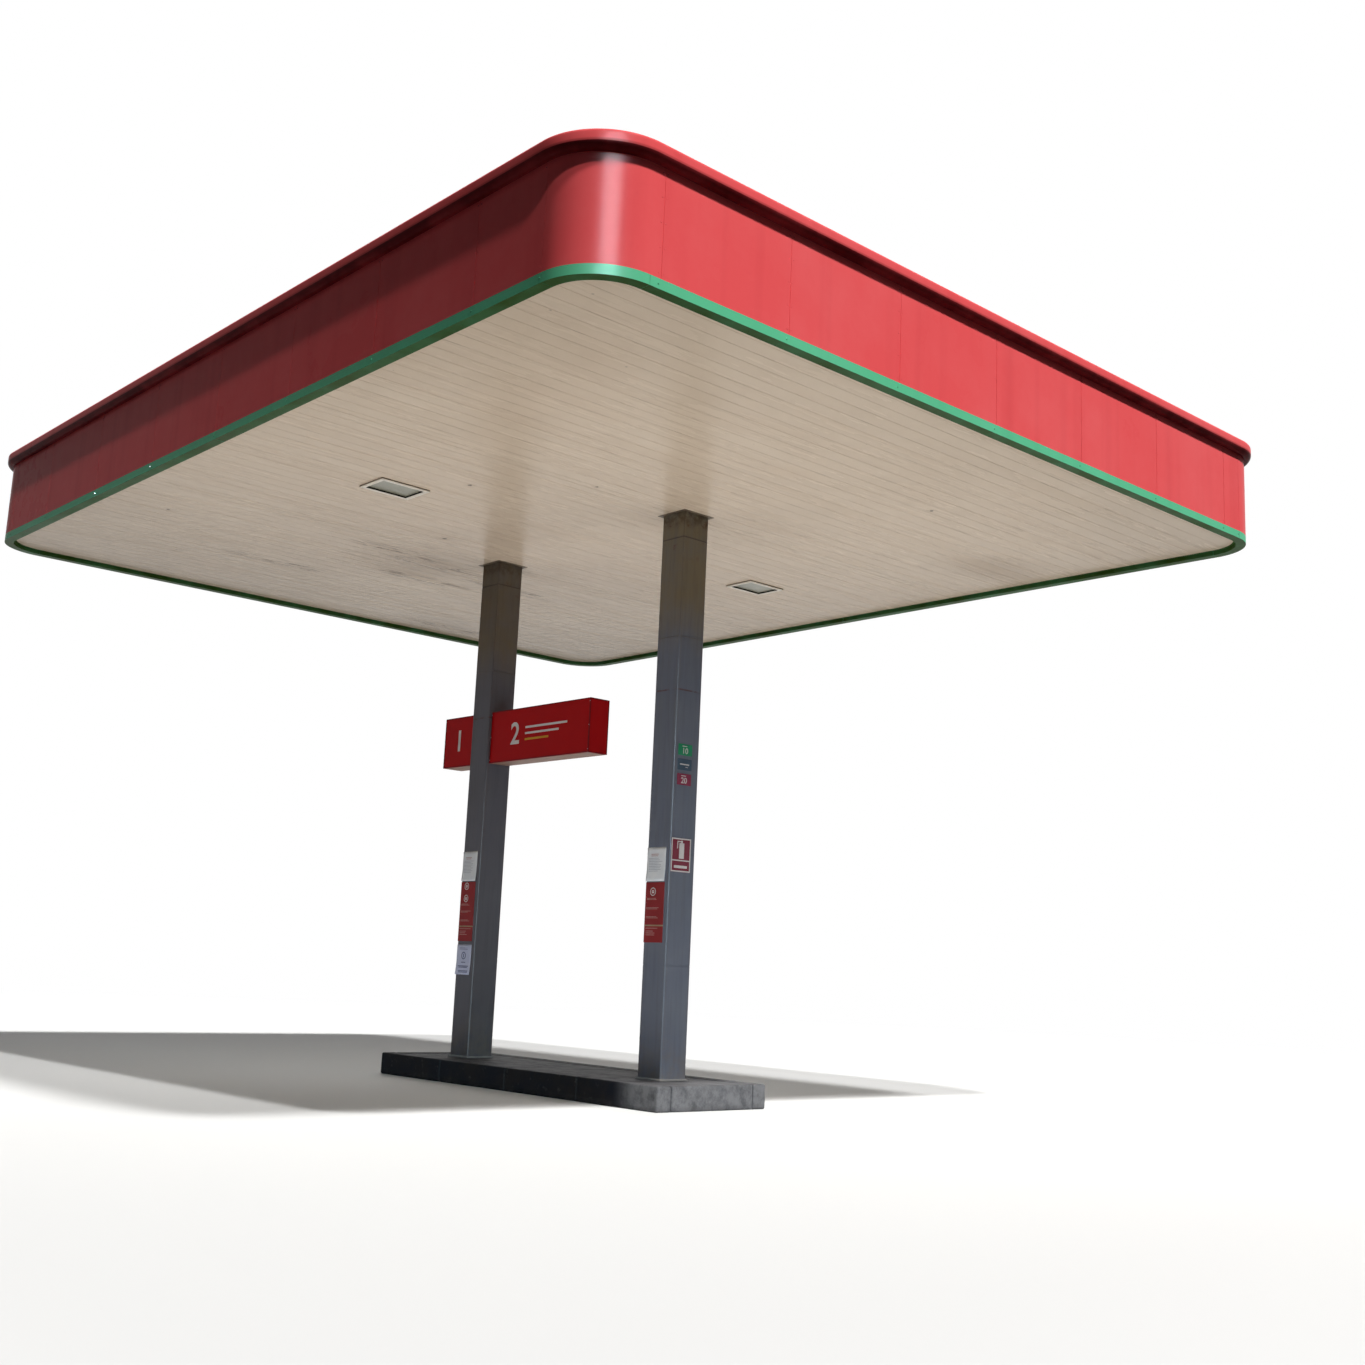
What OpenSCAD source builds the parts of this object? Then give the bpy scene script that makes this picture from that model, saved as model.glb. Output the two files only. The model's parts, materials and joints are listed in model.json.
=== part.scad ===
// Filling station canopy on two columns that stand in a kerbed island.
// The origin is on the ground at the centre. X runs along the columns, Y across the drive lanes.

/* [Canopy] */
// Length of the canopy over its fascia, along X
canopy_l = 9550; // [8400:50:12000]
// Width of the canopy over its fascia, along Y
canopy_w = 7750; // [6800:50:9000]
// Height from the ground to the underside of the edge band
clear_h = 5000; // [4400:50:6000]
// Height of the canopy's edge, from the band's underside to the cornice top
edge_h = 885; // [780:5:1100]
// Radius of the canopy's rounded corners
corner_r = 450; // [350:10:800]

/* [Edge band] */
// Height of the band's face
band_h = 65; // [55:1:130]
// Width of the band's flat underside
band_return = 85; // [80:1:160]
// Rise from the band's underside to the ceiling
ceiling_rise = 40; // [20:1:50]
// Width of the shelf that carries the ceiling's edge
shelf_w = 20; // [12:1:40]

/* [Fascia and cornice] */
// Thickness of the folded edge sheets
sheet_t = 3; // [2:0.5:5]
// Depth of the folded edges of a fascia panel
panel_fold = 25; // [15:1:40]
// Width of a full fascia panel on a long side
panel_long = 1160; // [800:5:1500]
// Width of a full fascia panel on a short side
panel_short = 1085; // [800:5:1500]
// Distance of the joint nearest the middle of a long side, to the right seen from outside
joint_long = 150; // [0:5:400]
// Distance of the joint nearest the middle of a short side, to the left seen from outside
joint_short = 85; // [0:5:400]
// Least width of the cut panel at an end of a side
least_cut = 200; // [100:10:400]
// Straight part of a corner panel, at its right end seen from outside
corner_lead = 85; // [40:5:200]
// Gap at the joints between panels
joint_gap = 4; // [2:0.5:8]
// Overhang of the cornice, which is also the radius of its rounded underside
lip_out = 60; // [40:1:90]
// Height of the straight part of the cornice face
lip_face = 65; // [30:1:80]
// Radius of the cornice's upper edge
lip_top_r = 25; // [10:1:35]
// Width of the coping behind the fascia face
coping_w = 110; // [90:1:160]
// Height of the coping's inner leg
coping_leg = 60; // [30:1:90]

/* [Ceiling] */
// Width of one ceiling strip
strip_w = 150; // [100:5:300]
// Width of the groove between two strips
groove_w = 3; // [3:0.5:12]
// Depth of the groove between two strips
groove_d = 4; // [2:1:15]
// Lean of each side of a groove
groove_lean = 1; // [0.5:0.25:1.25]
// Thickness of the ceiling sheet
ceiling_t = 3; // [2:0.5:5]
// Height of the battens that hang the ceiling
batten_h = 50; // [30:1:80]
// Width of a batten over its flanges
batten_w = 80; // [60:1:120]
// Number of battens between the middle and a light
batten_count = 2; // [1:1:4]

/* [Ceiling lights] */
// Length of a light's glass, along Y
lens_l = 400; // [300:10:500]
// Width of a light's glass, along X
lens_w = 285; // [200:5:400]
// Thickness of the glass
lens_t = 5; // [3:1:8]
// Height of the glass above the frame's underside
lens_recess = 14; // [8:1:40]
// Distance from the middle of the canopy to a light, along Y
light_y = 2180; // [1900:10:2500]
// Distance from the middle of the canopy to a light, along X
light_x = 60; // [-200:10:200]
// Width of the frame round the glass
light_rim = 40; // [25:1:60]
// Depth of the frame below the ceiling's face
light_drop = 15; // [8:1:25]
// Thickness of the frame's flange
light_flange = 6; // [3:1:6]
// Width of the shadow gap above the flange
light_gap = 5; // [2:1:8]
// Height of a light's housing above the ceiling's face
light_h = 120; // [80:5:160]

/* [Columns] */
// Distance between the columns' centres
col_spacing = 2740; // [2400:10:3200]
// Side of a square column
col_w = 285; // [240:5:320]
// Wall of a column
col_wall = 8; // [5:1:16]
// Radius of a column's corners
col_r = 12; // [6:1:20]
// Side of the plate on a column's head
head_w = 380; // [340:10:460]
// Thickness of the plate on a column's head
head_t = 20; // [12:1:30]
// Side of the flat collar under the ceiling
collar_w = 355; // [345:5:420]
// Clearance from the collar's sleeve to the ceiling and to the head plate
collar_gap = 3; // [1:1:6]
// Height of the lowest cladding joint
joint_low = 1125; // [900:5:1500]
// Height of the middle cladding joint
joint_mid = 3460; // [3200:10:3600]
// Height of the upper cladding joint
joint_high = 3925; // [3700:5:4100]
// Distance from the band's underside down to the top cladding joint
joint_drop = 190; // [100:10:400]
// Depth of a cladding joint
joint_depth = 3; // [1:0.5:4]

/* [Island] */
// Length of the island
island_l = 4000; // [3600:50:5000]
// Width of the island
island_w = 1200; // [1000:50:1400]
// Height of the island
island_h = 200; // [150:5:250]
// Chamfer on the island's upper edges
island_chamfer = 20; // [5:1:40]

/* [Steel frame] */
// Side of the square rails behind the fascia
rail = 50; // [40:5:60]
// Distance between the posts behind the fascia
post_pitch = 560; // [400:10:700]
// Height of the main beams over the columns
beam_h = 300; // [240:10:340]
// Height of the lengthwise beams
spine_h = 200; // [160:10:230]
// Width of the beams' flanges
beam_w = 150; // [100:5:200]
// Thickness of the beams' webs
web_t = 8; // [6:1:12]
// Thickness of the beams' flanges and end plates
flange_t = 12; // [8:1:16]

/* [Roof] */
// Height of a purlin
purlin_h = 120; // [90:5:150]
// Width of a purlin
purlin_w = 50; // [40:5:70]
// Thickness of a purlin's sheet
purlin_t = 4; // [3:1:6]
// Number of purlins on each side of the gutter
purlin_count = 4; // [3:1:6]
// Gap between the gutter and the first purlin
purlin_gap = 35; // [10:1:60]
// Height of the cleats under the purlins, where the roof is lowest
cleat_h = 10; // [5:1:30]
// Slope of the roof towards the gutter, in degrees
roof_fall = 1.5; // [0.5:0.1:2.5]
// Height of the roof deck's ribs
rib_h = 35; // [20:1:50]
// Distance between the roof deck's ribs
rib_pitch = 250; // [150:10:350]
// Thickness of the roof deck's sheet
deck_t = 3; // [2:0.5:4]
// Width of the gutter
gutter_w = 300; // [200:10:400]
// Side of a gutter outlet
outlet_w = 100; // [80:5:120]

/* [Sign box] */
// Height of the sign box
sign_h = 505; // [400:5:600]
// Height of the sign box above the ground
sign_z = 3005; // [2600:5:3200]
// Thickness of the sign box
sign_t = 220; // [160:5:230]
// Length of the box on the inner side of the column
sign_long = 1530; // [1000:10:1700]
// Length of the box on the outer side of the column
sign_short = 510; // [400:10:700]
// Thickness of the sign's faces
face_t = 5; // [3:1:8]

/* [Notices] */
// Width of the notices on the columns
notice_w = 235; // [180:5:250]
// Distance of the notices from the middle of a column's front, towards its left edge
notice_shift = 22; // [0:1:24]
// Height of a paper notice
notice_h = 285; // [200:5:300]
// Height of the poster on the left column
poster_left_h = 423; // [300:1:440]
// Height of the poster on the right column
poster_right_h = 357; // [300:1:440]
// Height of a narrow strip
strip_h = 137; // [80:1:160]
// Height of the top of the notices on the left column
notice_top = 2144; // [2000:1:2300]
// How much lower the notices on the right column are
notice_drop = 37; // [0:1:100]
// Gap between two notices
notice_gap = 8; // [2:1:20]
// Gap above the lowest paper notice
last_gap = 33; // [10:1:60]
// Thickness of the notices and plates
plate_t = 3; // [1:0.5:5]
// Width of a number plate
number_w = 160; // [120:5:200]
// Height of a number plate
number_h = 97; // [70:1:100]
// Height of the top of the number plates
number_top = 2992; // [2900:1:3100]
// Distance between the tops of two number plates
number_pitch = 127; // [110:1:140]
// Distance of the plates from the middle of the column's right face, towards the front
side_shift = 20; // [0:1:20]
// Width of the safety sign
safety_w = 222; // [180:1:240]
// Height of the safety sign
safety_h = 285; // [200:5:320]
// Height of the top of the safety sign
safety_top = 2190; // [2000:5:2300]

/* [Hidden] */
$fn = 64;

red = [0.84, 0.25, 0.26];
green = [0.22, 0.66, 0.45];
cream = [0.79, 0.72, 0.62];
grey = [0.46, 0.47, 0.50];
zinc = [0.62, 0.64, 0.65];
concrete = [0.42, 0.40, 0.38];

// Sides of the canopy, counted from the back and turning left
back = 0;
left = 1;
front = 2;
right = 3;

// Levels, from the ground up
band_top = clear_h + band_h;
ceiling_z = clear_h + ceiling_rise;
ceiling_top = ceiling_z + groove_d + ceiling_t;
beam_z = ceiling_top + batten_h;
head_z = beam_z - head_t;
beam_top = beam_z + beam_h;
edge_top = clear_h + edge_h;
fascia_h = edge_h - band_h - sheet_t;
deck_z = beam_top + cleat_h + purlin_h;

// Depth of the whole edge, from the fascia face to the back of the rails
edge_d = panel_fold + rail;
inner_l = canopy_l - 2 * edge_d;
inner_w = canopy_w - 2 * edge_d;
inner_r = corner_r - edge_d;
col_x = col_spacing / 2;
col_hole = col_w + 2 * (sheet_t + collar_gap);

function full_run(side) = (side % 2 == 0 ? canopy_l : canopy_w) - 2 * corner_r;
function half_size(side) = (side % 2 == 0 ? canopy_w : canopy_l) / 2;

// Moves a shape made at the back, with Y outwards from the fascia face, to one side
module on_side(side) {
    rotate([0, 0, 90 * side])
        translate([0, half_size(side), 0])
            children();
}

// Repeats a shape made round the corner at +X +Y at all four corners
module at_corners() {
    for (i = [0:3])
        translate([(i == 0 || i == 3 ? 1 : -1) * (canopy_l / 2 - corner_r),
            (i < 2 ? 1 : -1) * (canopy_w / 2 - corner_r), 0])
            rotate([0, 0, 90 * i])
                children();
}

// A straight run along X of an outline whose x points outwards and whose y points up
module run_of(run, shift = 0) {
    translate([shift, 0, 0])
        rotate([90, 0, 90])
            linear_extrude(height = run, center = true)
                children();
}

// A quarter turn of the same outline round the corner's centre
module turn_of() {
    rotate_extrude(angle = 90)
        translate([corner_r, 0])
            children();
}

// A rectangle with rounded corners, centred
module rounded_rect(l, w, r) {
    square([l - 2 * r, w], center = true);
    square([l, w - 2 * r], center = true);
    for (x = [-1, 1], y = [-1, 1])
        translate([x * (l / 2 - r), y * (w / 2 - r)])
            circle(r);
}

// A quarter of a ring, in the quadrant that starts at the given angle
module quarter_ring(r, t, angle) {
    intersection() {
        difference() {
            circle(r);
            circle(r - t);
        }
        rotate(angle)
            square(r);
    }
}

module band_outline() {
    translate([-sheet_t, 0])
        square([sheet_t, band_h]);
    translate([-band_return, 0])
        square([band_return, sheet_t]);
    translate([-band_return, 0])
        square([sheet_t, ceiling_rise]);
    translate([-band_return - shelf_w, ceiling_rise - sheet_t])
        square([shelf_w + sheet_t, sheet_t]);
    translate([-edge_d, band_h - sheet_t])
        square([edge_d, sheet_t]);
}

module fascia_outline() {
    translate([-sheet_t, 0])
        square([sheet_t, fascia_h]);
    for (y = [0, fascia_h - sheet_t])
        translate([-panel_fold, y])
            square([panel_fold, sheet_t]);
}

module cornice_outline() {
    round_y = -lip_top_r - lip_face;
    translate([0, round_y])
        quarter_ring(lip_out, sheet_t, -90);
    translate([lip_out - sheet_t, round_y])
        square([sheet_t, lip_face]);
    translate([lip_out - lip_top_r, -lip_top_r])
        quarter_ring(lip_top_r, sheet_t, 0);
    translate([-coping_w, -sheet_t])
        square([coping_w + lip_out - lip_top_r, sheet_t]);
    translate([-coping_w, -coping_leg])
        square([sheet_t, coping_leg]);
}

// The edge band: two lengths on a long side, which meet at a fascia joint, and one on a short side
module band_side(side) {
    run = full_run(side);
    places = concat([-run / 2], side % 2 == 0 ? [middle_joint(side)] : [], [run / 2]);
    color(green)
        translate([0, 0, clear_h])
            on_side(side)
                for (i = [0:len(places) - 2])
                    run_of(places[i + 1] - places[i] - joint_gap, (places[i] + places[i + 1]) / 2)
                        band_outline();
}

module band_corners() {
    color(green)
        translate([0, 0, clear_h])
            at_corners()
                turn_of()
                    band_outline();
}

// The joint nearest the middle of a side, as a place along the side
function middle_joint(side) = side % 2 == 0 ? -joint_long : joint_short;

// Joints between the fascia panels: full panels from the middle joint, and a cut panel at each end
function joint_places(side) =
    let (from = -full_run(side) / 2, to = full_run(side) / 2 - corner_lead,
        pitch = side % 2 == 0 ? panel_long : panel_short, middle = middle_joint(side),
        first = ceil((from + least_cut - middle) / pitch), last = floor((to - least_cut - middle) / pitch))
    concat([from], [for (i = [first:last]) middle + i * pitch], [to]);

module fascia_side(side) {
    places = joint_places(side);
    color(red)
        translate([0, 0, band_top])
            on_side(side)
                for (i = [0:len(places) - 2])
                    fascia_panel(places[i] + joint_gap / 2, places[i + 1] - joint_gap / 2);
}

// One folded panel between two places along the side
module fascia_panel(from, to) {
    run_of(to - from, (from + to) / 2)
        fascia_outline();
    for (x = [from, to - sheet_t])
        translate([x, -panel_fold, 0])
            cube([sheet_t, panel_fold, fascia_h]);
}

// A corner panel turns the corner and runs on along the next side for its lead
module fascia_corners() {
    lead = corner_lead - joint_gap / 2;
    color(red)
        translate([0, 0, band_top])
            at_corners() {
                turn_of()
                    fascia_outline();
                translate([0, corner_r, 0])
                    run_of(lead, -lead / 2)
                        fascia_outline();
            }
}

module cornice_side(side) {
    color(red)
        translate([0, 0, edge_top])
            on_side(side)
                run_of(full_run(side) - joint_gap)
                    cornice_outline();
}

module cornice_corners() {
    color(red)
        translate([0, 0, edge_top])
            at_corners()
                turn_of()
                    cornice_outline();
}

// A flat ladder of rails and posts that carries the fascia of one side, closed where a beam meets it
module edge_frame(side) {
    run = full_run(side);
    bays = 2 * round(run / post_pitch / 2);
    bay = run / bays;
    window_h = fascia_h - 2 * rail;
    beam_places = side % 2 == 0 ? [-col_x, col_x] : [0];
    color(zinc)
        translate([0, 0, band_top])
            on_side(side)
                translate([-run / 2, -panel_fold, 0])
                    rotate([90, 0, 0])
                        linear_extrude(height = rail)
                            difference() {
                                square([run, fascia_h]);
                                difference() {
                                    for (i = [0:bays - 1])
                                        translate([i * bay + rail / 2, rail])
                                            square([bay - rail, window_h]);
                                    for (x = beam_places)
                                        translate([run / 2 + x - beam_w / 2, 0])
                                            square([beam_w, fascia_h]);
                                }
                            }
}

// Curved rails with three posts behind each rounded corner
module corner_frames() {
    post_turn = rail / inner_r * 180 / PI;
    window_turn = (90 - 3 * post_turn) / 2;
    color(zinc)
        translate([0, 0, band_top])
            at_corners()
                difference() {
                    rotate_extrude(angle = 90)
                        translate([inner_r, 0])
                            square([rail, fascia_h]);
                    for (i = [0, 1])
                        rotate([0, 0, post_turn + i * (post_turn + window_turn)])
                            rotate_extrude(angle = window_turn)
                                translate([inner_r - rail, rail])
                                    square([3 * rail, fascia_h - 2 * rail]);
                }
}

module i_section(h) {
    translate([-web_t / 2, 0])
        square([web_t, h]);
    for (y = [0, h - flange_t])
        translate([-beam_w / 2, y])
            square([beam_w, flange_t]);
}

// A beam along X with an end plate at each end
module beam(run, h) {
    rotate([90, 0, 90])
        linear_extrude(height = run, center = true)
            i_section(h);
    for (x = [-run / 2, run / 2 - flange_t])
        translate([x, -beam_w / 2, 0])
            cube([flange_t, beam_w, h]);
}

module cross_beam(x) {
    color(zinc)
        translate([x, 0, beam_z])
            rotate([0, 0, 90])
                beam(inner_w, beam_h);
}

// Lengthwise beams: one between the cross beams and one out to each end
module spine_beams() {
    arm = inner_l / 2 - col_x - beam_w / 2;
    color(zinc)
        translate([0, 0, beam_top - spine_h]) {
            beam(col_spacing - beam_w, spine_h);
            for (s = [-1, 1])
                translate([s * (inner_l - arm) / 2, 0, 0])
                    beam(arm, spine_h);
        }
}

function roof_rise(y) = y * tan(roof_fall);
first_purlin = gutter_w / 2 + purlin_gap + purlin_w / 2;
last_purlin = canopy_w / 2 - corner_r - purlin_w;

// Channels along X on one side of the gutter, each on a cleat over each cross beam
module purlins(s) {
    step = (last_purlin - first_purlin) / (purlin_count - 1);
    color(zinc)
        for (i = [0:purlin_count - 1])
            purlin(s, first_purlin + i * step);
}

module purlin(s, y) {
    lift = roof_rise(y);
    translate([0, s * y, deck_z + lift])
        rotate([s * roof_fall, 0, 0])
            rotate([90, 0, 90])
                linear_extrude(height = inner_l, center = true)
                    channel_outline();
    for (x = [-col_x, col_x])
        translate([x - purlin_w / 2, s * y - purlin_w / 4, beam_top])
            cube([purlin_w, purlin_w / 2, cleat_h + lift + purlin_t]);
}

module channel_outline() {
    difference() {
        translate([-purlin_w / 2, -purlin_h])
            square([purlin_w, purlin_h]);
        translate([-purlin_w / 2 + purlin_t, -purlin_h + purlin_t])
            square([purlin_w, purlin_h - 2 * purlin_t]);
    }
}

// One face of a folded sheet: a row of raised trapezium ribs, with rib feet moved out by grow
function ribbed_line(count, pitch, top_w, foot_w, h, grow) =
    let (foot = foot_w / 2 + grow, top = top_w / 2 + grow,
        rib = [[-foot, 0], [-top, h], [top, h], [foot, 0]])
    concat([[0, 0]],
        [for (i = [0:count - 1]) for (p = rib) [p[0] + (i + 0.5) * pitch, p[1]]],
        [[count * pitch, 0]]);

// Outline of the sheet, of even thickness t on the flats and on the ribs' sides
module ribbed_outline(count, pitch, top_w, foot_w, h, t) {
    side_angle = atan2(h, (foot_w - top_w) / 2);
    lower = ribbed_line(count, pitch, top_w, foot_w, h, 0);
    upper = ribbed_line(count, pitch, top_w, foot_w, h, t * tan(side_angle / 2));
    last = len(upper) - 1;
    polygon(concat(lower, [for (i = [0:last]) upper[last - i] + [0, t]]));
}

// Roof sheets on one side, falling to the gutter
module roof_deck(s) {
    count = ceil(inner_l / rib_pitch);
    from = gutter_w / 2 - purlin_w / 2;
    color(zinc)
        intersection() {
            translate([0, 0, deck_z])
                mirror([0, s < 0 ? 1 : 0, 0])
                    rotate([roof_fall, 0, 0])
                        translate([-count * rib_pitch / 2, inner_w, 0])
                            rotate([90, 0, 0])
                                linear_extrude(height = inner_w - from)
                                    ribbed_outline(count, rib_pitch, rib_h, 2 * rib_h, rib_h, deck_t);
            translate([0, 0, beam_top])
                linear_extrude(height = edge_h)
                    rounded_rect(inner_l, inner_w, inner_r);
        }
}

// Box gutter on the beams, with an outlet next to each column
module gutter() {
    wall_h = deck_z + roof_rise(gutter_w / 2) - beam_top - sheet_t;
    outlet_x = col_x - beam_w / 2 - outlet_w;
    color(zinc)
        translate([0, 0, beam_top])
            difference() {
                translate([-inner_l / 2, -gutter_w / 2, 0])
                    cube([inner_l, gutter_w, wall_h]);
                translate([-inner_l / 2 + sheet_t, -gutter_w / 2 + sheet_t, sheet_t])
                    cube([inner_l - 2 * sheet_t, gutter_w - 2 * sheet_t, wall_h]);
                for (s = [-1, 1])
                    translate([s * outlet_x - outlet_w / 2, -gutter_w / 2 + 2 * sheet_t, -sheet_t])
                        cube([outlet_w, gutter_w / 2 - beam_w / 2 - 4 * sheet_t, 3 * sheet_t]);
            }
}

// Hat battens along X under the beams, which the ceiling sheets hang from, clear of the lights
module ceiling_battens() {
    reach = lens_l / 2 + light_rim + batten_w;
    inner = light_y - reach;
    places = concat([for (i = [1:batten_count]) inner * (i - 0.5) / (batten_count - 0.5)],
        [light_y + reach, inner_w / 2 - corner_r]);
    color(zinc)
        for (s = [-1, 1], y = places)
            translate([0, s * y, ceiling_top])
                rotate([90, 0, 90])
                    linear_extrude(height = inner_l - 2 * band_return, center = true)
                        hat_outline();
}

module hat_outline() {
    difference() {
        translate([-batten_w / 4, 0])
            square([batten_w / 2, batten_h]);
        translate([-batten_w / 4 + sheet_t, -sheet_t])
            square([batten_w / 2 - 2 * sheet_t, batten_h]);
    }
    for (x = [-batten_w / 2, batten_w / 4 - sheet_t])
        translate([x, 0])
            square([batten_w / 4 + sheet_t, sheet_t]);
}

// One bay of the ceiling between two places along X
module ceiling_bay(from, to) {
    count = ceil((to - from) / strip_w);
    groove_top = groove_w - 2 * groove_lean;
    hole_h = 3 * (groove_d + ceiling_t);
    color(cream)
        difference() {
            intersection() {
                translate([from, canopy_w / 2, ceiling_z])
                    rotate([90, 0, 0])
                        linear_extrude(height = canopy_w)
                            ribbed_outline(count, strip_w, groove_top, groove_w, groove_d, ceiling_t);
                translate([0, 0, ceiling_z])
                    linear_extrude(height = groove_d + ceiling_t)
                        intersection() {
                            rounded_rect(canopy_l - 2 * band_return, canopy_w - 2 * band_return,
                                corner_r - band_return);
                            translate([from, -canopy_w / 2])
                                square([to - from, canopy_w]);
                        }
            }
            for (x = [-col_x, col_x])
                translate([x, 0, ceiling_z])
                    cube([col_hole, col_hole, hole_h], center = true);
            for (y = [-light_y, light_y])
                translate([light_x, y, ceiling_z])
                    cube([lens_w + 4 * sheet_t, lens_l + 4 * sheet_t, hole_h], center = true);
        }
}

// Housings of the ceiling lights, open below, with a dropped flange and a shadow gap above it
module light_frames() {
    color(cream)
        for (y = [-light_y, light_y])
            translate([light_x, y, ceiling_z - light_drop])
                difference() {
                    union() {
                        light_block(light_rim, light_flange);
                        light_block(light_rim - light_gap, light_drop);
                        light_block(sheet_t, light_drop + light_h);
                    }
                    translate([0, 0, -sheet_t])
                        light_block(0, light_drop + light_h);
                }
}

// A block as long and wide as a light's glass, with a margin on each side
module light_block(margin, h) {
    translate([-lens_w / 2 - margin, -lens_l / 2 - margin, 0])
        cube([lens_w + 2 * margin, lens_l + 2 * margin, h]);
}

module light_lenses() {
    color([0.80, 0.86, 0.84, 0.6])
        for (y = [-light_y, light_y])
            translate([light_x, y, ceiling_z - light_drop + lens_recess])
                light_block(0, lens_t);
}

// A clad column: a square tube with cladding joints, its head plate under the cross beam
module column(x) {
    joints = [joint_low, joint_mid, joint_high, clear_h - joint_drop];
    groove_side = col_w - 2 * joint_depth;
    color(grey)
        translate([x, 0, 0]) {
            difference() {
                linear_extrude(height = head_z)
                    rounded_rect(col_w, col_w, col_r);
                translate([-col_w / 2 + col_wall, -col_w / 2 + col_wall, -col_wall])
                    cube([col_w - 2 * col_wall, col_w - 2 * col_wall, head_z + 2 * col_wall]);
                for (z = joints)
                    translate([0, 0, z])
                        linear_extrude(height = joint_gap)
                            difference() {
                                square(col_w + 2 * joint_depth, center = true);
                                rounded_rect(groove_side, groove_side, col_r - joint_depth);
                            }
            }
            translate([-head_w / 2, -head_w / 2, head_z])
                cube([head_w, head_w, head_t]);
        }
}

// Collar that closes the ceiling round a column: a flat flange under it and a sleeve up through it
module collar(x) {
    sleeve_w = col_w + 2 * sheet_t;
    sleeve_h = head_z - collar_gap - ceiling_z + sheet_t;
    color([0.45, 0.40, 0.36])
        translate([x, 0, ceiling_z - sheet_t])
            difference() {
                union() {
                    translate([-collar_w / 2, -collar_w / 2, 0])
                        cube([collar_w, collar_w, sheet_t]);
                    translate([-sleeve_w / 2, -sleeve_w / 2, 0])
                        cube([sleeve_w, sleeve_w, sleeve_h]);
                }
                cube([col_w, col_w, 3 * sleeve_h], center = true);
            }
}

// Raised island with chamfered upper edges, open where the columns pass through
module island_kerb() {
    color(concrete)
        difference() {
            intersection() {
                rotate([90, 0, 90])
                    linear_extrude(height = island_l, center = true)
                        kerb_outline(island_w);
                rotate([90, 0, 0])
                    linear_extrude(height = island_w, center = true)
                        kerb_outline(island_l);
            }
            for (x = [-col_x, col_x])
                translate([x, 0, 0])
                    cube([col_w, col_w, 3 * island_h], center = true);
        }
}

module kerb_outline(w) {
    c = island_chamfer;
    polygon([[-w / 2, 0], [w / 2, 0], [w / 2, island_h - c], [w / 2 - c, island_h],
        [-w / 2 + c, island_h], [-w / 2, island_h - c]]);
}

// The rim of a sign box, from one place to another along X, open at the front and back
module sign_rim(from, to) {
    color(red)
        translate([from, sign_t / 2 - face_t, sign_z])
            rotate([90, 0, 0])
                linear_extrude(height = sign_t - 2 * face_t)
                    difference() {
                        square([to - from, sign_h]);
                        translate([sheet_t, sheet_t])
                            square([to - from - 2 * sheet_t, sign_h - 2 * sheet_t]);
                    }
}

inner_face = -col_x + col_w / 2;
outer_face = -col_x - col_w / 2;

// Front and back faces of both lengths of the sign box
module sign_faces() {
    color(red)
        for (y = [-sign_t / 2, sign_t / 2 - face_t]) {
            translate([inner_face, y, sign_z])
                cube([sign_long, face_t, sign_h]);
            translate([outer_face - sign_short, y, sign_z])
                cube([sign_short, face_t, sign_h]);
        }
}

// A thin plate on the front face of a column, hung from its upper edge
module front_plate(x, top, h) {
    translate([x - notice_shift - notice_w / 2, -col_w / 2 - plate_t, top - h])
        cube([notice_w, plate_t, h]);
}

// A thin plate on the right face of the right column
module side_plate(w, top, h) {
    translate([col_x + col_w / 2, -side_shift - w / 2, top - h])
        cube([plate_t, w, h]);
}

// A paper notice, a poster and a narrow strip, one under the other
module notice_row(x, top, poster_h) {
    poster_top = top - notice_h - notice_gap;
    strip_top = poster_top - poster_h - notice_gap;
    color([0.85, 0.84, 0.84])
        front_plate(x, top, notice_h);
    color([0.75, 0.12, 0.12]) {
        front_plate(x, poster_top, poster_h);
        front_plate(x, strip_top, strip_h);
    }
}

module column_notices() {
    row_h = notice_h + poster_left_h + strip_h + 2 * notice_gap;
    notice_row(-col_x, notice_top, poster_left_h);
    notice_row(col_x, notice_top - notice_drop, poster_right_h);
    color([0.80, 0.78, 0.86])
        front_plate(-col_x, notice_top - row_h - last_gap, notice_h);
}

module number_plates() {
    color([0.24, 0.60, 0.42])
        for (i = [0:2])
            side_plate(number_w, number_top - i * number_pitch, number_h);
}

module safety_sign() {
    color([0.62, 0.08, 0.10])
        side_plate(safety_w, safety_top, safety_h);
}

island_kerb();
column(-col_x);  // left_column
column(col_x);  // right_column
collar(-col_x);  // left_collar
collar(col_x);  // right_collar
cross_beam(-col_x);  // cross_beam_left
cross_beam(col_x);  // cross_beam_right
spine_beams();
edge_frame(front);  // edge_frame_front
edge_frame(back);  // edge_frame_back
edge_frame(left);  // edge_frame_left
edge_frame(right);  // edge_frame_right
corner_frames();
purlins(-1);  // purlins_front
purlins(1);  // purlins_back
roof_deck(-1);  // roof_deck_front
roof_deck(1);  // roof_deck_back
gutter();
ceiling_battens();
ceiling_bay(-canopy_l / 2 + band_return, -col_x - joint_gap / 2);  // ceiling_left
ceiling_bay(-col_x + joint_gap / 2, col_x - joint_gap / 2);  // ceiling_middle
ceiling_bay(col_x + joint_gap / 2, canopy_l / 2 - band_return);  // ceiling_right
light_frames();
light_lenses();
band_side(front);  // band_front
band_side(back);  // band_back
band_side(left);  // band_left
band_side(right);  // band_right
band_corners();
fascia_side(front);  // fascia_front
fascia_side(back);  // fascia_back
fascia_side(left);  // fascia_left
fascia_side(right);  // fascia_right
fascia_corners();
cornice_side(front);  // cornice_front
cornice_side(back);  // cornice_back
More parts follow.
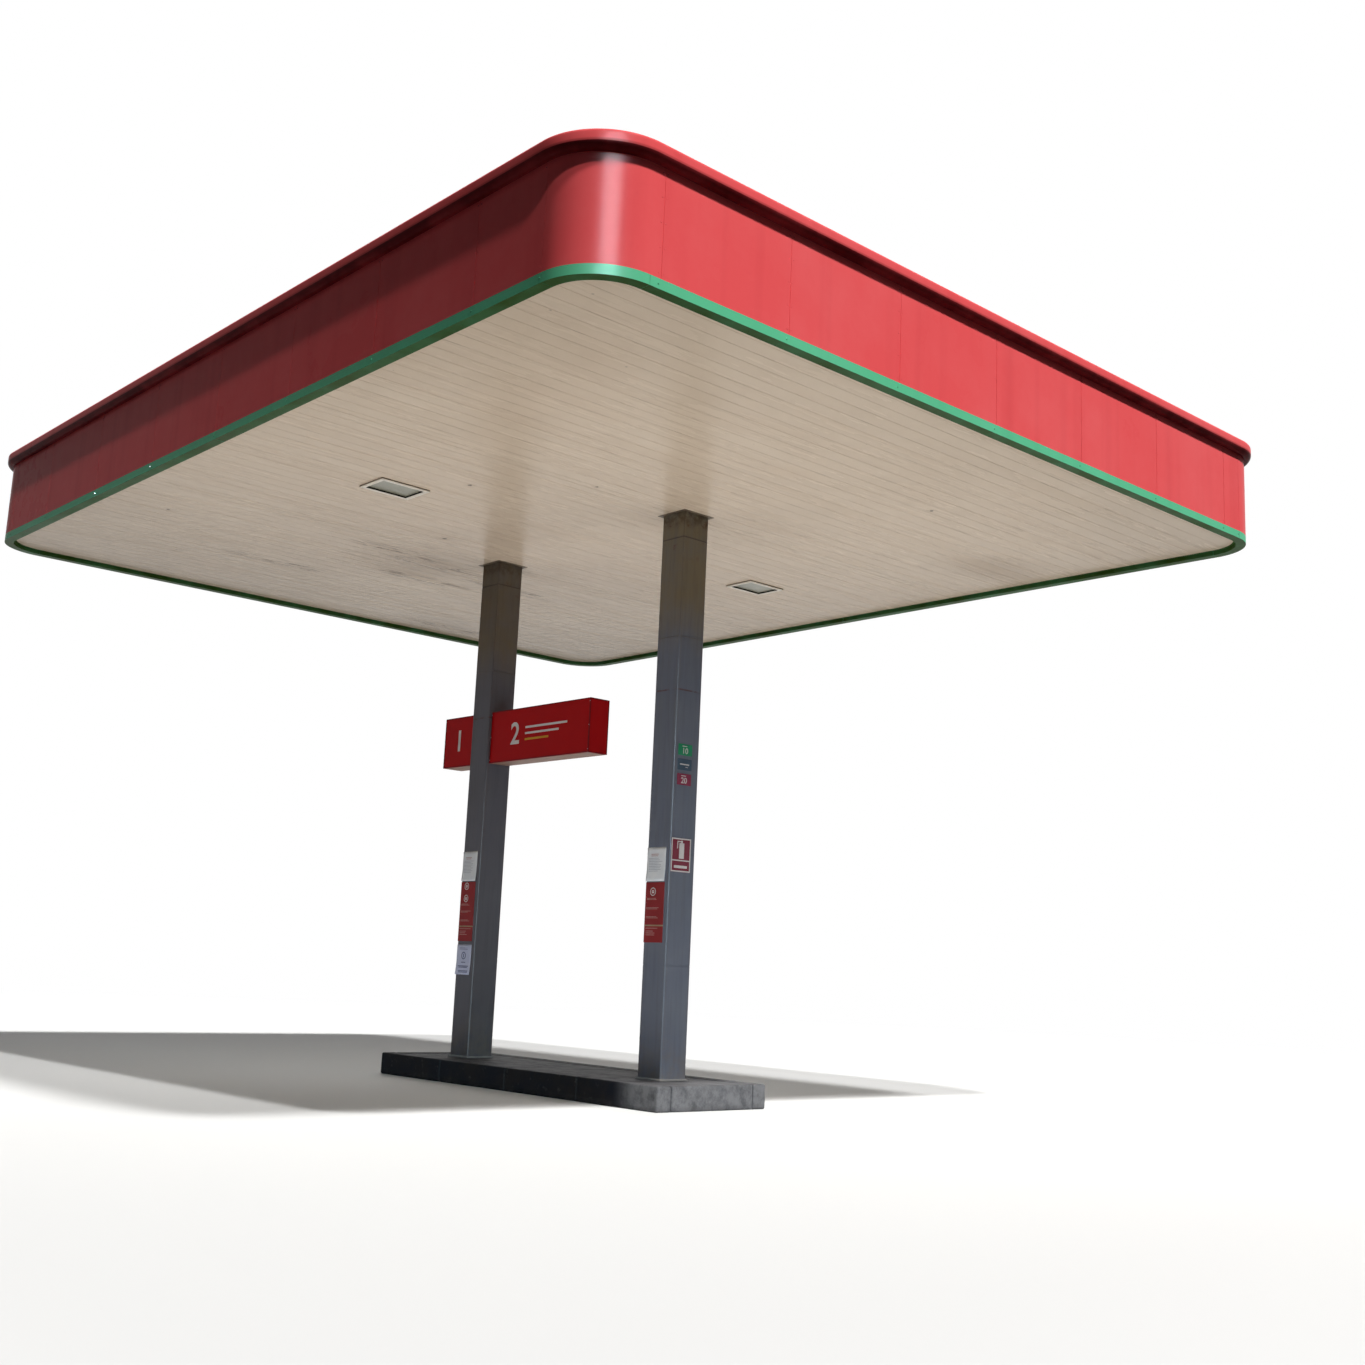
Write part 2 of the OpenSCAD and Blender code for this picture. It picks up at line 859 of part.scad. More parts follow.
cornice_side(left);  // cornice_left
cornice_side(right);  // cornice_right
cornice_corners();
sign_rim(inner_face, inner_face + sign_long);  // sign_box_long
sign_rim(outer_face - sign_short, outer_face);  // sign_box_short
sign_faces();
column_notices();
number_plates();
safety_sign();
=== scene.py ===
import bpy
import bmesh
import json
import math
import random
from mathutils import Matrix, Vector, noise


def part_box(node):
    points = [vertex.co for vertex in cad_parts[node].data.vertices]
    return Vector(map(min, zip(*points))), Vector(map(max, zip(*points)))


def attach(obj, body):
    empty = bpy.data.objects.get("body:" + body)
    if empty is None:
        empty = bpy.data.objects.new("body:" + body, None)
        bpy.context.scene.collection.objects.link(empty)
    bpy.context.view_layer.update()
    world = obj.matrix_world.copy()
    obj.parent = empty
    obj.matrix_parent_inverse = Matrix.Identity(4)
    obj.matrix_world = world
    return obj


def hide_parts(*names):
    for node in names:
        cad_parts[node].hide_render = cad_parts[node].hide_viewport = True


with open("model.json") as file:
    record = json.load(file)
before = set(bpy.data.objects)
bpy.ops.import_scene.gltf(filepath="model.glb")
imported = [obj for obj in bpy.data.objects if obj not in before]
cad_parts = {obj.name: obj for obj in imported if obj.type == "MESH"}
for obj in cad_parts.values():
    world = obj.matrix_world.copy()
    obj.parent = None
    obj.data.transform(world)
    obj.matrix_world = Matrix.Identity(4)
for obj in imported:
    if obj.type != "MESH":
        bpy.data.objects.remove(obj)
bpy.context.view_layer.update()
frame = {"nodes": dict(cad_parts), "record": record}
random.seed(7)


# The canopy's own places, taken from the frame

def frameMiddle(node):
    low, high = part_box(node)
    return (low + high) / 2


fasciaLow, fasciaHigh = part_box("fascia_corners")
canopy = {
    "halfLength": fasciaHigh.x,
    "halfWidth": fasciaHigh.y,
    "cornerRadius": fasciaHigh.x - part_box("edge_frame_front")[1].x,
    "bandBottom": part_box("band_corners")[0].z,
    "fasciaBottom": fasciaLow.z,
    "fasciaTop": fasciaHigh.z,
    "ceiling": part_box("ceiling_middle")[0].z,
    "columnX": frameMiddle("right_column").x,
    "columnHalf": -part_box("column_notices")[1].y,
    "islandTop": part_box("island_kerb")[1].z,
}
panelSet = {
    "pitchLong": 1.160,
    "pitchShort": 1.085,
    "middleLong": -0.150,
    "middleShort": 0.085,
    "lead": 0.085,
    "leastCut": 0.200,
}


def shift(x, y, z):
    return Matrix.Translation((x, y, z))


def turned(axis, degrees):
    return Matrix.Rotation(math.radians(degrees), 4, axis)


def sideMatrix(side):
    # a side counted from the back and turning left, with x along it and y outwards from the fascia
    half = canopy["halfWidth"] if side % 2 == 0 else canopy["halfLength"]
    return turned("Z", 90 * side) @ shift(0, half, 0)


def halfRun(side):
    return (canopy["halfLength"] if side % 2 == 0 else canopy["halfWidth"]) - canopy["cornerRadius"]


def panelJoints(side):
    # places of the fascia joints along a side, with its two ends
    run = "Long" if side % 2 == 0 else "Short"
    pitch, middle = panelSet["pitch" + run], panelSet["middle" + run]
    start, end = -halfRun(side), halfRun(side) - panelSet["lead"]
    first = math.ceil((start + panelSet["leastCut"] - middle) / pitch)
    last = math.floor((end - panelSet["leastCut"] - middle) / pitch)
    return [start] + [middle + index * pitch for index in range(first, last + 1)] + [end]


def evenPlaces(start, end, pitch):
    # middles of equal steps of about a pitch
    count = round((end - start) / pitch)
    return [start + (index + 0.5) * (end - start) / count for index in range(count)]


frontFace = turned("X", 90)  # local X stays, local Y goes up, local Z points to -Y
backFace = turned("Z", 180) @ frontFace
rightFace = turned("Z", 90) @ frontFace
leftFace = turned("Z", 180) @ rightFace


# Small helpers for meshes

def addObject(name, data, **settings):
    # sets the values of a data block and puts it into the scene
    for key, value in settings.items():
        setattr(data, key, value)
    item = bpy.data.objects.new(name, data)
    bpy.context.scene.collection.objects.link(item)
    return item


def meshPiece(name, bm, material, smooth=False):
    # closes a bmesh into an object that rides on the canopy
    mesh = bpy.data.meshes.new(name)
    bm.to_mesh(mesh)
    bm.free()
    piece = addObject(name, mesh)
    mesh.materials.append(material)
    for face in mesh.polygons:
        face.use_smooth = smooth
    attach(piece, "root")
    return piece


def ofKind(geom, kind):
    return [item for item in geom if isinstance(item, kind)]


def addBox(bm, start, end, bevel=0.0, segments=2, place=None):
    # a box between two opposite corners, with rounded edges where bevel is given
    low, high = (Vector(tuple(map(pick, start, end))) for pick in (min, max))
    matrix = Matrix.Translation((low + high) / 2) @ Matrix.Diagonal((*(high - low), 1))
    verts = bmesh.ops.create_cube(bm, size=1, matrix=matrix)["verts"]
    if bevel > 0:
        edges = list({edge for vert in verts for edge in vert.link_edges})
        bent = bmesh.ops.bevel(bm, geom=edges, offset=bevel, offset_type="OFFSET", segments=segments,
                               profile=0.5, affect="EDGES", material=-1, clamp_overlap=True)
        kept = {vert for vert in verts if vert.is_valid}
        verts = list({vert for face in bent["faces"] for vert in face.verts} | kept)
    if place is not None:
        bmesh.ops.transform(bm, matrix=place, verts=verts)


def addPatch(bm, place, thick, left, bottom, right, top, bevel=0.0):
    # a flat printed shape on its place, raised by its thickness
    addBox(bm, (left, bottom, 0), (right, top, thick), bevel, 3, place)


def addFrame(bm, place, width, height, border, thick):
    # a flat ring with square corners, centred on its place and rising along its local Z
    made = bmesh.ops.create_grid(bm, x_segments=1, y_segments=1, size=0.5,
                                 matrix=Matrix.Diagonal((width, height, 1, 1)))
    face = made["verts"][0].link_faces[0]
    ring = bmesh.ops.inset_region(bm, faces=[face], thickness=border, use_boundary=True,
                                  use_even_offset=True)["faces"]
    bmesh.ops.delete(bm, geom=[face], context="FACES_ONLY")
    solid = bmesh.ops.extrude_face_region(bm, geom=ring)
    raised = ofKind(solid["geom"], bmesh.types.BMVert)
    bmesh.ops.translate(bm, verts=raised, vec=(0, 0, thick))
    faces = list({item for vert in raised for item in vert.link_faces} | set(ring))
    bmesh.ops.recalc_face_normals(bm, faces=faces)
    verts = list({vert for item in faces for vert in item.verts})
    bmesh.ops.transform(bm, matrix=place, verts=verts)
    return verts


def addRound(bm, place, outer, inner, thick, steps=28):
    # a flat round ring, spun from its cross-section
    section = ((inner, 0, 0), (outer, 0, 0), (outer, 0, thick), (inner, 0, thick))
    corners = [bm.verts.new(point) for point in section]
    edges = [bm.edges.new((corners[index], corners[(index + 1) % 4])) for index in range(4)]
    bmesh.ops.spin(bm, geom=corners + edges, cent=(0, 0, 0), axis=(0, 0, 1), angle=math.tau,
                   steps=steps, use_merge=True)
    verts = list({vert for corner in corners if corner.is_valid for vert in linkedVerts(corner)})
    bmesh.ops.recalc_face_normals(bm, faces=list({face for vert in verts for face in vert.link_faces}))
    bmesh.ops.transform(bm, matrix=place, verts=verts)


def linkedVerts(start):
    # all the points of the loose part that holds a point
    found, todo = {start}, [start]
    while todo:
        for edge in todo.pop().link_edges:
            for vert in edge.verts:
                if vert not in found:
                    found.add(vert)
                    todo.append(vert)
    return found


def turnTo(*normal):
    # turns a shape made along +Z so that it points along a normal
    return Vector((0, 0, 1)).rotation_difference(Vector(normal)).to_matrix().to_4x4()


def addDome(bm, place, radius, proud):
    # a low rivet head, half sunk in what carries it
    bmesh.ops.create_uvsphere(bm, u_segments=8, v_segments=4, radius=1,
                              matrix=place @ Matrix.Diagonal((radius, radius, proud, 1)))


def addScrew(bm, place, washer, head, proud):
    # a hexagon head on a washer, pointing along its local Z
    for sides, radius, taper, share, middle in ((14, washer, 0.9, 0.3, 0.15), (6, head, 0.94, 0.7, 0.65)):
        bmesh.ops.create_cone(bm, cap_ends=True, segments=sides, radius1=radius, radius2=radius * taper,
                              depth=proud * share, matrix=place @ shift(0, 0, proud * middle))


# Node helpers and the effects that several materials share

def newMaterial(name):
    material = bpy.data.materials.new(name)
    material.use_nodes = True
    tree = material.node_tree
    tree.nodes.clear()
    skin = addNode(tree, "BsdfPrincipled")
    addNode(tree, "OutputMaterial", skin.outputs[0])
    return material, tree, skin


def feed(tree, socket, value):
    # gives a socket a link or a plain value
    if isinstance(value, bpy.types.NodeSocket):
        tree.links.new(value, socket)
    elif socket.type == "RGBA":
        socket.default_value = (*value[:3], 1)
    else:
        socket.default_value = value


def addNode(tree, kind, *inputs, **named):
    # a node with its first inputs in order, and its settings or further inputs by name
    node = tree.nodes.new("ShaderNode" + kind)
    for key, value in named.items():
        if hasattr(node, key):
            setattr(node, key, value)
        else:
            feed(tree, node.inputs[key.replace("_", " ")], value)
    for socket, value in zip(node.inputs, inputs):
        feed(tree, socket, value)
    return node


def setSkin(tree, skin, **named):
    for key, value in named.items():
        feed(tree, skin.inputs[key.replace("_", " ")], value)


def mixColour(tree, factor, first, second):
    # mixes two colours, each a socket or a plain colour
    node = addNode(tree, "Mix", factor, data_type="RGBA")
    for index, value in ((6, first), (7, second)):
        feed(tree, node.inputs[index], value)
    return node.outputs[2]


def mathNode(tree, operation, first, second=0.0, third=0.0, clamp=False):
    return addNode(tree, "Math", first, second, third, operation=operation, use_clamp=clamp).outputs[0]


def product(tree, first, *others):
    for other in others:
        first = mathNode(tree, "MULTIPLY", first, other)
    return first


def tint(tree, base, mask, share, colour):
    # lays a share of a colour over the base where the mask is
    return mixColour(tree, product(tree, mask, share), base, colour)


def rampMask(tree, value, low, high):
    # a soft step from 0 to 1 between low and high, or down where low is the higher
    ends = (0.0, 1.0) if low < high else (1.0, 0.0)
    return addNode(tree, "MapRange", value, min(low, high), max(low, high), *ends,
                   interpolation_type="SMOOTHSTEP").outputs[0]


def scaled(tree, place, stretch):
    return addNode(tree, "Mapping", place, Scale=stretch).outputs[0]


def noiseOf(tree, place, scale, detail=3.0, roughness=0.55, stretch=None):
    # cloudy noise, drawn out along the axes whose stretch is low
    if stretch:
        place = scaled(tree, place, stretch)
    return addNode(tree, "TexNoise", place, Scale=scale, Detail=detail, Roughness=roughness).outputs["Fac"]


def noiseMask(tree, place, scale, detail, roughness, low, high, stretch=None):
    return rampMask(tree, noiseOf(tree, place, scale, detail, roughness, stretch), low, high)


def objectPlace(tree):
    return addNode(tree, "TexCoord").outputs["Object"]


def splitPlace(tree, place):
    return addNode(tree, "SeparateXYZ", place).outputs


def surfaceNormal(tree):
    return addNode(tree, "NewGeometry").outputs["Normal"]


def awayFrom(tree, place, stretch, point):
    # distance from a point, with both stretched
    target = tuple(along * scale for along, scale in zip(point, stretch))
    node = addNode(tree, "VectorMath", scaled(tree, place, stretch), target, operation="DISTANCE")
    return node.outputs["Value"]


def newGroup(name, inputs, outputs):
    # an effect group that reads Object coordinates itself
    group = bpy.data.node_groups.new(name, "ShaderNodeTree")
    for label, value in inputs.items():
        socket = group.interface.new_socket(label, in_out="INPUT", socket_type="NodeSocketFloat")
        socket.default_value = value
    for label in outputs:
        group.interface.new_socket(label, in_out="OUTPUT", socket_type="NodeSocketFloat")
    source = group.nodes.new("NodeGroupInput").outputs
    target = group.nodes.new("NodeGroupOutput").inputs
    return group, source, target, objectPlace(group)


def makeWeatherGroup():
    # streaks that run down upright faces, and soft cloudy dust
    sockets = {"Streak Width": 12.0, "Dust Size": 1.5}
    group, source, target, place = newGroup("weather", sockets, ["Streaks", "Dust"])
    streaks = noiseMask(group, place, source["Streak Width"], 2.5, 0.55, 0.46, 0.78, (1, 1, 0.03))
    feed(group, target["Streaks"], streaks)
    feed(group, target["Dust"], noiseMask(group, place, source["Dust Size"], 6, 0.65, 0.35, 0.75))
    return group


def makeSheetGroup():
    # long soft waves of a thin sheet and a fine paint texture, for bump
    sockets = {"Wave Size": 1.2, "Grain Size": 180.0}
    group, source, target, place = newGroup("sheetWaves", sockets, ["Waves", "Grain"])
    for label, output, detail in (("Wave Size", "Waves", 1.0), ("Grain Size", "Grain", 2.0)):
        feed(group, target[output], noiseOf(group, place, source[label], detail))
    return group


def makeSpeckGroup():
    # scattered specks of dirt, each with a faint halo
    sockets = {"Speck Scale": 1.3, "Speck Size": 0.02}
    group, source, target, place = newGroup("dirtSpecks", sockets, ["Specks", "Halo"])
    cells = addNode(group, "TexVoronoi", place, Scale=source["Speck Scale"], Randomness=1.0)
    wobble = mathNode(group, "ADD", noiseOf(group, place, 45, 2), 0.5)
    reach = product(group, cells.outputs["Distance"], wobble)
    chance = addNode(group, "SeparateColor", cells.outputs["Color"])
    size = product(group, source["Speck Size"], mathNode(group, "ADD", chance.outputs[0], 0.15))
    share = mathNode(group, "DIVIDE", reach, size)
    feed(group, target["Specks"], rampMask(group, share, 1.0, 0.5))
    feed(group, target["Halo"], rampMask(group, share, 3.2, 0.8))
    return group


weather = makeWeatherGroup()
sheetWaves = makeSheetGroup()
dirtSpecks = makeSpeckGroup()


def useGroup(tree, group, **named):
    node = tree.nodes.new("ShaderNodeGroup")
    node.node_tree = group
    for key, value in named.items():
        node.inputs[key.replace("_", " ")].default_value = value
    return node.outputs


def bumpFrom(tree, skin, height, strength, distance, normal=None):
    node = addNode(tree, "Bump", Strength=strength, Distance=distance, Height=height)
    if normal is not None:
        feed(tree, node.inputs["Normal"], normal)
    feed(tree, skin.inputs["Normal"], node.outputs[0])
    return node.outputs[0]


def sheetBump(tree, skin, strength, depth, size=1.2, grain=0.0, normal=None):
    # the waves of a sheet, and where grain is given the texture of its paint on top
    waves = useGroup(tree, sheetWaves, Wave_Size=size)
    bent = bumpFrom(tree, skin, waves["Waves"], strength, depth, normal)
    if grain > 0:
        bumpFrom(tree, skin, waves["Grain"], grain, 0.0006, bent)


print("helpers ready")


# Materials of the coated sheets

coatLooks = {
    "fasciaRed": {
        "colour": (0.83, 0.098, 0.104),
        "faded": (0.85, 0.126, 0.132),
        "grime": (0.50, 0.030, 0.036),
        # painted shade: dark red for the cornice's underside and inner faces, and for the painted shade band
        # under the cornice
        "under": (0.085, 0.006, 0.008),
        "underFrom": 5.70,
        # painted shade in a band close under the cornice: its heights, its fade at the top and its share
        "shelter": (5.715, 5.790),
        "shelterEnd": (5.825, 5.812),
        "shelterShare": 0.35,
        "settled": (0.56, 0.088, 0.088),
        "settledShare": 0.85,
        "roughness": 0.27,
        "dulled": 0.04,
        "streaks": 0.16,
        "waves": 0.0009,
        "grain": 0.015,
        "specular": 0.010,
    },
    "bandGreen": {
        "colour": (0.112, 0.53, 0.285),
        "faded": (0.132, 0.56, 0.32),
        "grime": (0.03, 0.20, 0.10),
        # painted shade: dark green for the band's underside and inner leg
        "under": (0.030, 0.070, 0.012),
        "underFrom": 4.0,
        "roughness": 0.36,
        "waves": 0.0012,
        "grain": 0.03,
        "specular": 0.03,
    },
    "signRed": {
        "colour": (0.395, 0.006, 0.008),
        "faded": (0.425, 0.009, 0.011),
        "grime": (0.25, 0.005, 0.007),
        "roughness": 0.28,
        "waves": 0.002,
        "specular": 0.03,
    },
    # painted light: a pale colour for the box's underside, standing in for light thrown up from the ground
    "signUnder": {
        "colour": (0.24, 0.14, 0.105),
        "faded": (0.28, 0.19, 0.145),
        "grime": (0.17, 0.09, 0.06),
        "roughness": 0.5,
        "waves": 0.002,
    },
    "signTrim": {
        "colour": (0.17, 0.005, 0.008),
        "faded": (0.21, 0.009, 0.012),
        "grime": (0.08, 0.004, 0.006),
        "specular": 0.05,
        "roughness": 0.4,
        "waves": 0.001,
    },
    "collarBrown": {
        "colour": (0.115, 0.085, 0.056),
        "faded": (0.20, 0.150, 0.100),
        "grime": (0.035, 0.026, 0.020),
        "roughness": 0.5,
        "waves": 0.004,
        "dustSize": 9.0,
        "streaks": 0.4,
    },
    "framePrimer": {
        "colour": (0.17, 0.175, 0.18),
        "faded": (0.23, 0.23, 0.225),
        "grime": (0.12, 0.07, 0.045),
        "roughness": 0.6,
        "waves": 0.001,
    },
    "lightFrameCream": {
        "colour": (0.86, 0.79, 0.68),
        "faded": (0.78, 0.70, 0.58),
        "grime": (0.44, 0.36, 0.26),
        "roughness": 0.4,
        "waves": 0.001,
        "dustSize": 7.0,
    },
}


def shadedFaces(tree, above):
    # faces above a height that look down or inwards, darkened as painted shade, with noise that makes it uneven
    normal, place = surfaceNormal(tree), objectPlace(tree)
    down = rampMask(tree, splitPlace(tree, normal)[2], -0.12, -0.22)
    level = addNode(tree, "VectorMath", normal, (1, 1, 0), operation="MULTIPLY")
    inward = addNode(tree, "VectorMath", level.outputs[0], place, operation="DOT_PRODUCT")
    shaded = mathNode(tree, "MAXIMUM", down, rampMask(tree, inward.outputs["Value"], -0.2, -1.0))
    high = rampMask(tree, splitPlace(tree, place)[2], above, above + 0.01)
    patchy = mathNode(tree, "MULTIPLY_ADD", noiseOf(tree, place, 3.0, 4), 0.4, 0.75, clamp=True)
    return product(tree, shaded, high, patchy)


def topDustAndPaintedShade(tree, base, look):
    # dust on the top, and painted shade on the upright face close under the cornice
    rise = splitPlace(tree, surfaceNormal(tree))[2]
    base = tint(tree, base, rampMask(tree, rise, 0.5, 0.9), look["settledShare"], look["settled"])
    upright = rampMask(tree, mathNode(tree, "ABSOLUTE", rise), 0.3, 0.1)
    height = splitPlace(tree, objectPlace(tree))[2]
    band = product(tree, *(rampMask(tree, height, *look[ends]) for ends in ("shelter", "shelterEnd")))
    return tint(tree, base, product(tree, band, upright), look["shelterShare"], look["under"])


def paintedSheet(name, look):
    # coated sheet metal: faint fading, streaks, dust, painted shade where the look gives it, and the waves of a
    # thin panel
    material, tree, skin = newMaterial(name)
    air = useGroup(tree, weather, Streak_Width=5.0, Dust_Size=look.get("dustSize", 0.9))
    base = mixColour(tree, air["Dust"], look["colour"], look["faded"])
    base = tint(tree, base, air["Streaks"], look.get("streaks", 0.10), look["grime"])
    # painted shade on the faces that look down or inwards
    if "under" in look:
        base = mixColour(tree, shadedFaces(tree, look["underFrom"]), base, look["under"])
    if "shelter" in look:
        base = topDustAndPaintedShade(tree, base, look)
    rough = mathNode(tree, "MULTIPLY_ADD", air["Dust"], look.get("dulled", 0.14), look["roughness"])
    setSkin(tree, skin, Base_Color=base, Roughness=rough, Specular_IOR_Level=look.get("specular", 0.25))
    sheetBump(tree, skin, 0.5, look["waves"], grain=look.get("grain", 0.12))
    return material


columnLook = {
    "upper": (0.192, 0.158, 0.104),
    # grey paint whose blue cast is painted sky light
    "lower": (0.136, 0.154, 0.204),
    "faded": (0.166, 0.178, 0.208),
    "streak": (0.150, 0.152, 0.160),
    "rust": (0.120, 0.045, 0.026),
    "dirt": (0.060, 0.038, 0.022),
    "dust": (0.19, 0.15, 0.11),
    "edge": (0.040, 0.042, 0.048),
    "change": (3.70, 4.35),  # heights between which the colour turns
    "rustLine": 3.46,
    "darkLine": 4.81,
    "paleLine": 3.925,
    "spotRise": (4.56, 4.76),
    "headRise": (4.87, 4.98),
    "splash": (0.75, 0.15),
    "edgeWidth": 0.007,
    "roughness": 0.42,
    "specular": 0.09,
}


def nearHeight(tree, height, middle, reach):
    # 1 on a level line, and 0 beyond its reach on both sides
    away = mathNode(tree, "ABSOLUTE", mathNode(tree, "SUBTRACT", height, middle))
    return rampMask(tree, away, reach, reach / 4)


def columnPaint(look, columnX, half):
    # satin grey cladding that turns warmer and dirtier towards the ceiling, with dusty feet; the lower tone's
    # blue cast is painted sky light
    material, tree, skin = newMaterial("columnGrey")
    place = objectPlace(tree)
    along, across, height = splitPlace(tree, place)
    ragged = mathNode(tree, "MULTIPLY_ADD", noiseOf(tree, place, 6.0, 4, stretch=(1, 1, 0.25)), 0.5, -0.25)
    step = rampMask(tree, mathNode(tree, "ADD", height, ragged), *look["change"])
    worn = mixColour(tree, step, look["lower"], look["upper"])
    air = useGroup(tree, weather, Streak_Width=16.0, Dust_Size=2.2)
    worn = tint(tree, worn, air["Dust"], 0.45, look["faded"])
    worn = tint(tree, worn, air["Streaks"], 0.25, look["streak"])
    worn = tint(tree, worn, noiseMask(tree, place, 30.0, 3, 0.55, 0.48, 0.66, (1, 1, 0.06)), 0.10, look["edge"])
    # the cladding joints, one of them rusty and one with a painted highlight, and the spots and dirt near the
    # head
    rusty = product(tree, nearHeight(tree, height, look["rustLine"], 0.010),
                    noiseMask(tree, place, 18.0, 3, 0.55, 0.38, 0.6))
    worn = tint(tree, worn, rusty, 0.7, look["rust"])
    worn = tint(tree, worn, nearHeight(tree, height, look["darkLine"], 0.008), 0.6, look["edge"])
    # a painted highlight along the joint at this height, laid on in the dust colour
    worn = tint(tree, worn, nearHeight(tree, height, look["paleLine"], 0.006), 0.3, look["dust"])
    spots = noiseMask(tree, place, 9.0, 5, 0.7, 0.60, 0.70)
    spots = product(tree, rampMask(tree, height, *look["spotRise"]), spots)
    worn = tint(tree, worn, spots, 0.6, look["rust"])
    head = noiseMask(tree, place, 14.0, 5, 0.65, 0.35, 0.62)
    head = product(tree, rampMask(tree, height, *look["headRise"]), head)
    worn = tint(tree, worn, head, 0.6, look["dirt"])
    # dirt along the upright edges, where both distances from the middle are near half a width
    fromMiddle = mathNode(tree, "SUBTRACT", mathNode(tree, "ABSOLUTE", along), columnX)
    nearest = mathNode(tree, "MINIMUM", *(mathNode(tree, "ABSOLUTE", away) for away in (fromMiddle, across)))
    rim = rampMask(tree, nearest, half - look["edgeWidth"], half - look["edgeWidth"] * 0.4)
    pale = product(tree, rampMask(tree, nearest, half - 0.026, half - 0.020),
                   rampMask(tree, nearest, half - 0.014, half - 0.018))
    worn = tint(tree, worn, pale, 0.18, look["dust"])
    worn = tint(tree, worn, rim, 0.5, look["edge"])
    # the column that stands deeper in the shade is painted darker all over, as painted shade
    worn = tint(tree, worn, rampMask(tree, along, 0.1, -0.1), 0.42, look["dirt"])
    splash = noiseMask(tree, place, 7.0, 6, 0.65, 0.35, 0.7)
    splash = product(tree, rampMask(tree, height, *look["splash"]), splash)
    worn = tint(tree, worn, splash, 0.5, look["dust"])
    rough = mathNode(tree, "MULTIPLY_ADD", air["Dust"], 0.16, look["roughness"])
    setSkin(tree, skin, Base_Color=worn, Roughness=rough, Specular_IOR_Level=look["specular"])
    sheetBump(tree, skin, 0.5, 0.004, 2.4, 0.15)
    return material


# The ceiling's strips run across the drive lanes

ceilingLook = {
    "colour": (0.755, 0.618, 0.475),
    "other": (0.710, 0.568, 0.430),
    "stain": (0.42, 0.31, 0.21),
    "line": (0.27, 0.19, 0.13),
    "speck": (0.085, 0.055, 0.035),
    "brown": (0.20, 0.125, 0.07),
    "strip": 0.150,
    "lineWidth": 0.006,
    "patches": ((-1.95, -0.40, 0.95), (-4.35, 1.2, 0.7), (2.4, 3.1, 0.6)),
    "dashes": ((-1.93, -0.45), (-1.72, -0.95), (-2.15, 0.65), (-2.50, -0.20), (-3.10, -1.60), (-4.30, 1.30)),
    "roughness": 0.22,
    "specular": 0.06,
}


def ceilingPaint(name, start, look):
    # cream coated strips, each a touch different, with fine dirty joints, specks and a few brown patches
    material, tree, skin = newMaterial(name)
    place = objectPlace(tree)
    fromStart = mathNode(tree, "SUBTRACT", splitPlace(tree, place)[0], start)
    turns = mathNode(tree, "DIVIDE", fromStart, look["strip"])
    number = mathNode(tree, "FLOOR", mathNode(tree, "ADD", turns, 0.5))
    chance = addNode(tree, "TexWhiteNoise", noise_dimensions="1D", W=number).outputs["Value"]
    tone = noiseMask(tree, place, 9.0, 4, 0.6, 0.3, 0.75, (1, 0.10, 1))
    mixed = mathNode(tree, "MULTIPLY_ADD", chance, 0.40, product(tree, tone, 0.35))
    base = mixColour(tree, mixed, look["colour"], look["other"])
    # dirt gathers at the joints, here and there along them
    part = mathNode(tree, "SUBTRACT", mathNode(tree, "FRACT", turns), 0.5)
    reach = product(tree, mathNode(tree, "ABSOLUTE", part), look["strip"])
    dirty = noiseMask(tree, place, 1.6, 5, 0.7, 0.50, 0.68, (6.0, 1.3, 1))
    joint = product(tree, rampMask(tree, reach, look["lineWidth"], look["lineWidth"] * 0.3), dirty)
    base = tint(tree, base, joint, 0.42, look["line"])
    # thin scratches and smears along the strips
    base = tint(tree, base, noiseMask(tree, place, 2.0, 3, 0.6, 0.66, 0.74, (28.0, 0.7, 1)), 0.13, look["line"])
    air = useGroup(tree, weather, Streak_Width=5.0, Dust_Size=0.5)
    base = tint(tree, base, air["Dust"], 0.22, look["stain"])
    cloudy = mathNode(tree, "ADD", noiseOf(tree, place, 2.6, 6, 0.7, (1.0, 0.5, 1)), 0.5)
    for x, y, size in look["patches"]:
        torn = product(tree, awayFrom(tree, place, (1, 0.7, 0), (x, y, 0)), cloudy)
        base = tint(tree, base, rampMask(tree, torn, size, 0.1), 0.45, look["stain"])
    # broken brown lines, where water has run along a joint
    broken = noiseMask(tree, place, 1.0, 5, 0.7, 0.50, 0.56, (22.0, 2.6, 1))
    for x, y in look["dashes"]:
        near = rampMask(tree, awayFrom(tree, place, (6.0, 1.2, 0), (x, y, 0)), 0.9, 0.4)
        base = tint(tree, base, product(tree, near, broken), 0.8, look["brown"])
    small, fine = (useGroup(tree, dirtSpecks, Speck_Scale=scale, Speck_Size=0.034) for scale in (1.15, 2.7))
    base = tint(tree, base, small["Halo"], 0.20, look["stain"])
    specks = mathNode(tree, "MAXIMUM", small["Specks"], product(tree, fine["Specks"], 0.45))
    base = tint(tree, base, specks, 0.85, look["speck"])
    rough = mathNode(tree, "MULTIPLY_ADD", tone, 0.10, look["roughness"])
    setSkin(tree, skin, Base_Color=base, Roughness=rough, Specular_IOR_Level=look["specular"])
    ripple = bumpFrom(tree, skin, noiseOf(tree, place, 8.0, 1, stretch=(1.0, 0.05, 1)), 0.5, 0.0025)
    sheetBump(tree, skin, 0.35, 0.003, 1.6, normal=ripple)
    return material


zincLook = {
    "light": (0.37, 0.378, 0.386),
    "dark": (0.25, 0.258, 0.27),
    "stain": (0.18, 0.168, 0.155),
    "roughness": 0.52,
}
screwLook = {
    "light": (0.72, 0.73, 0.74),
    "dark": (0.58, 0.59, 0.6),
    "stain": (0.3, 0.27, 0.24),
    "roughness": 0.3,
}


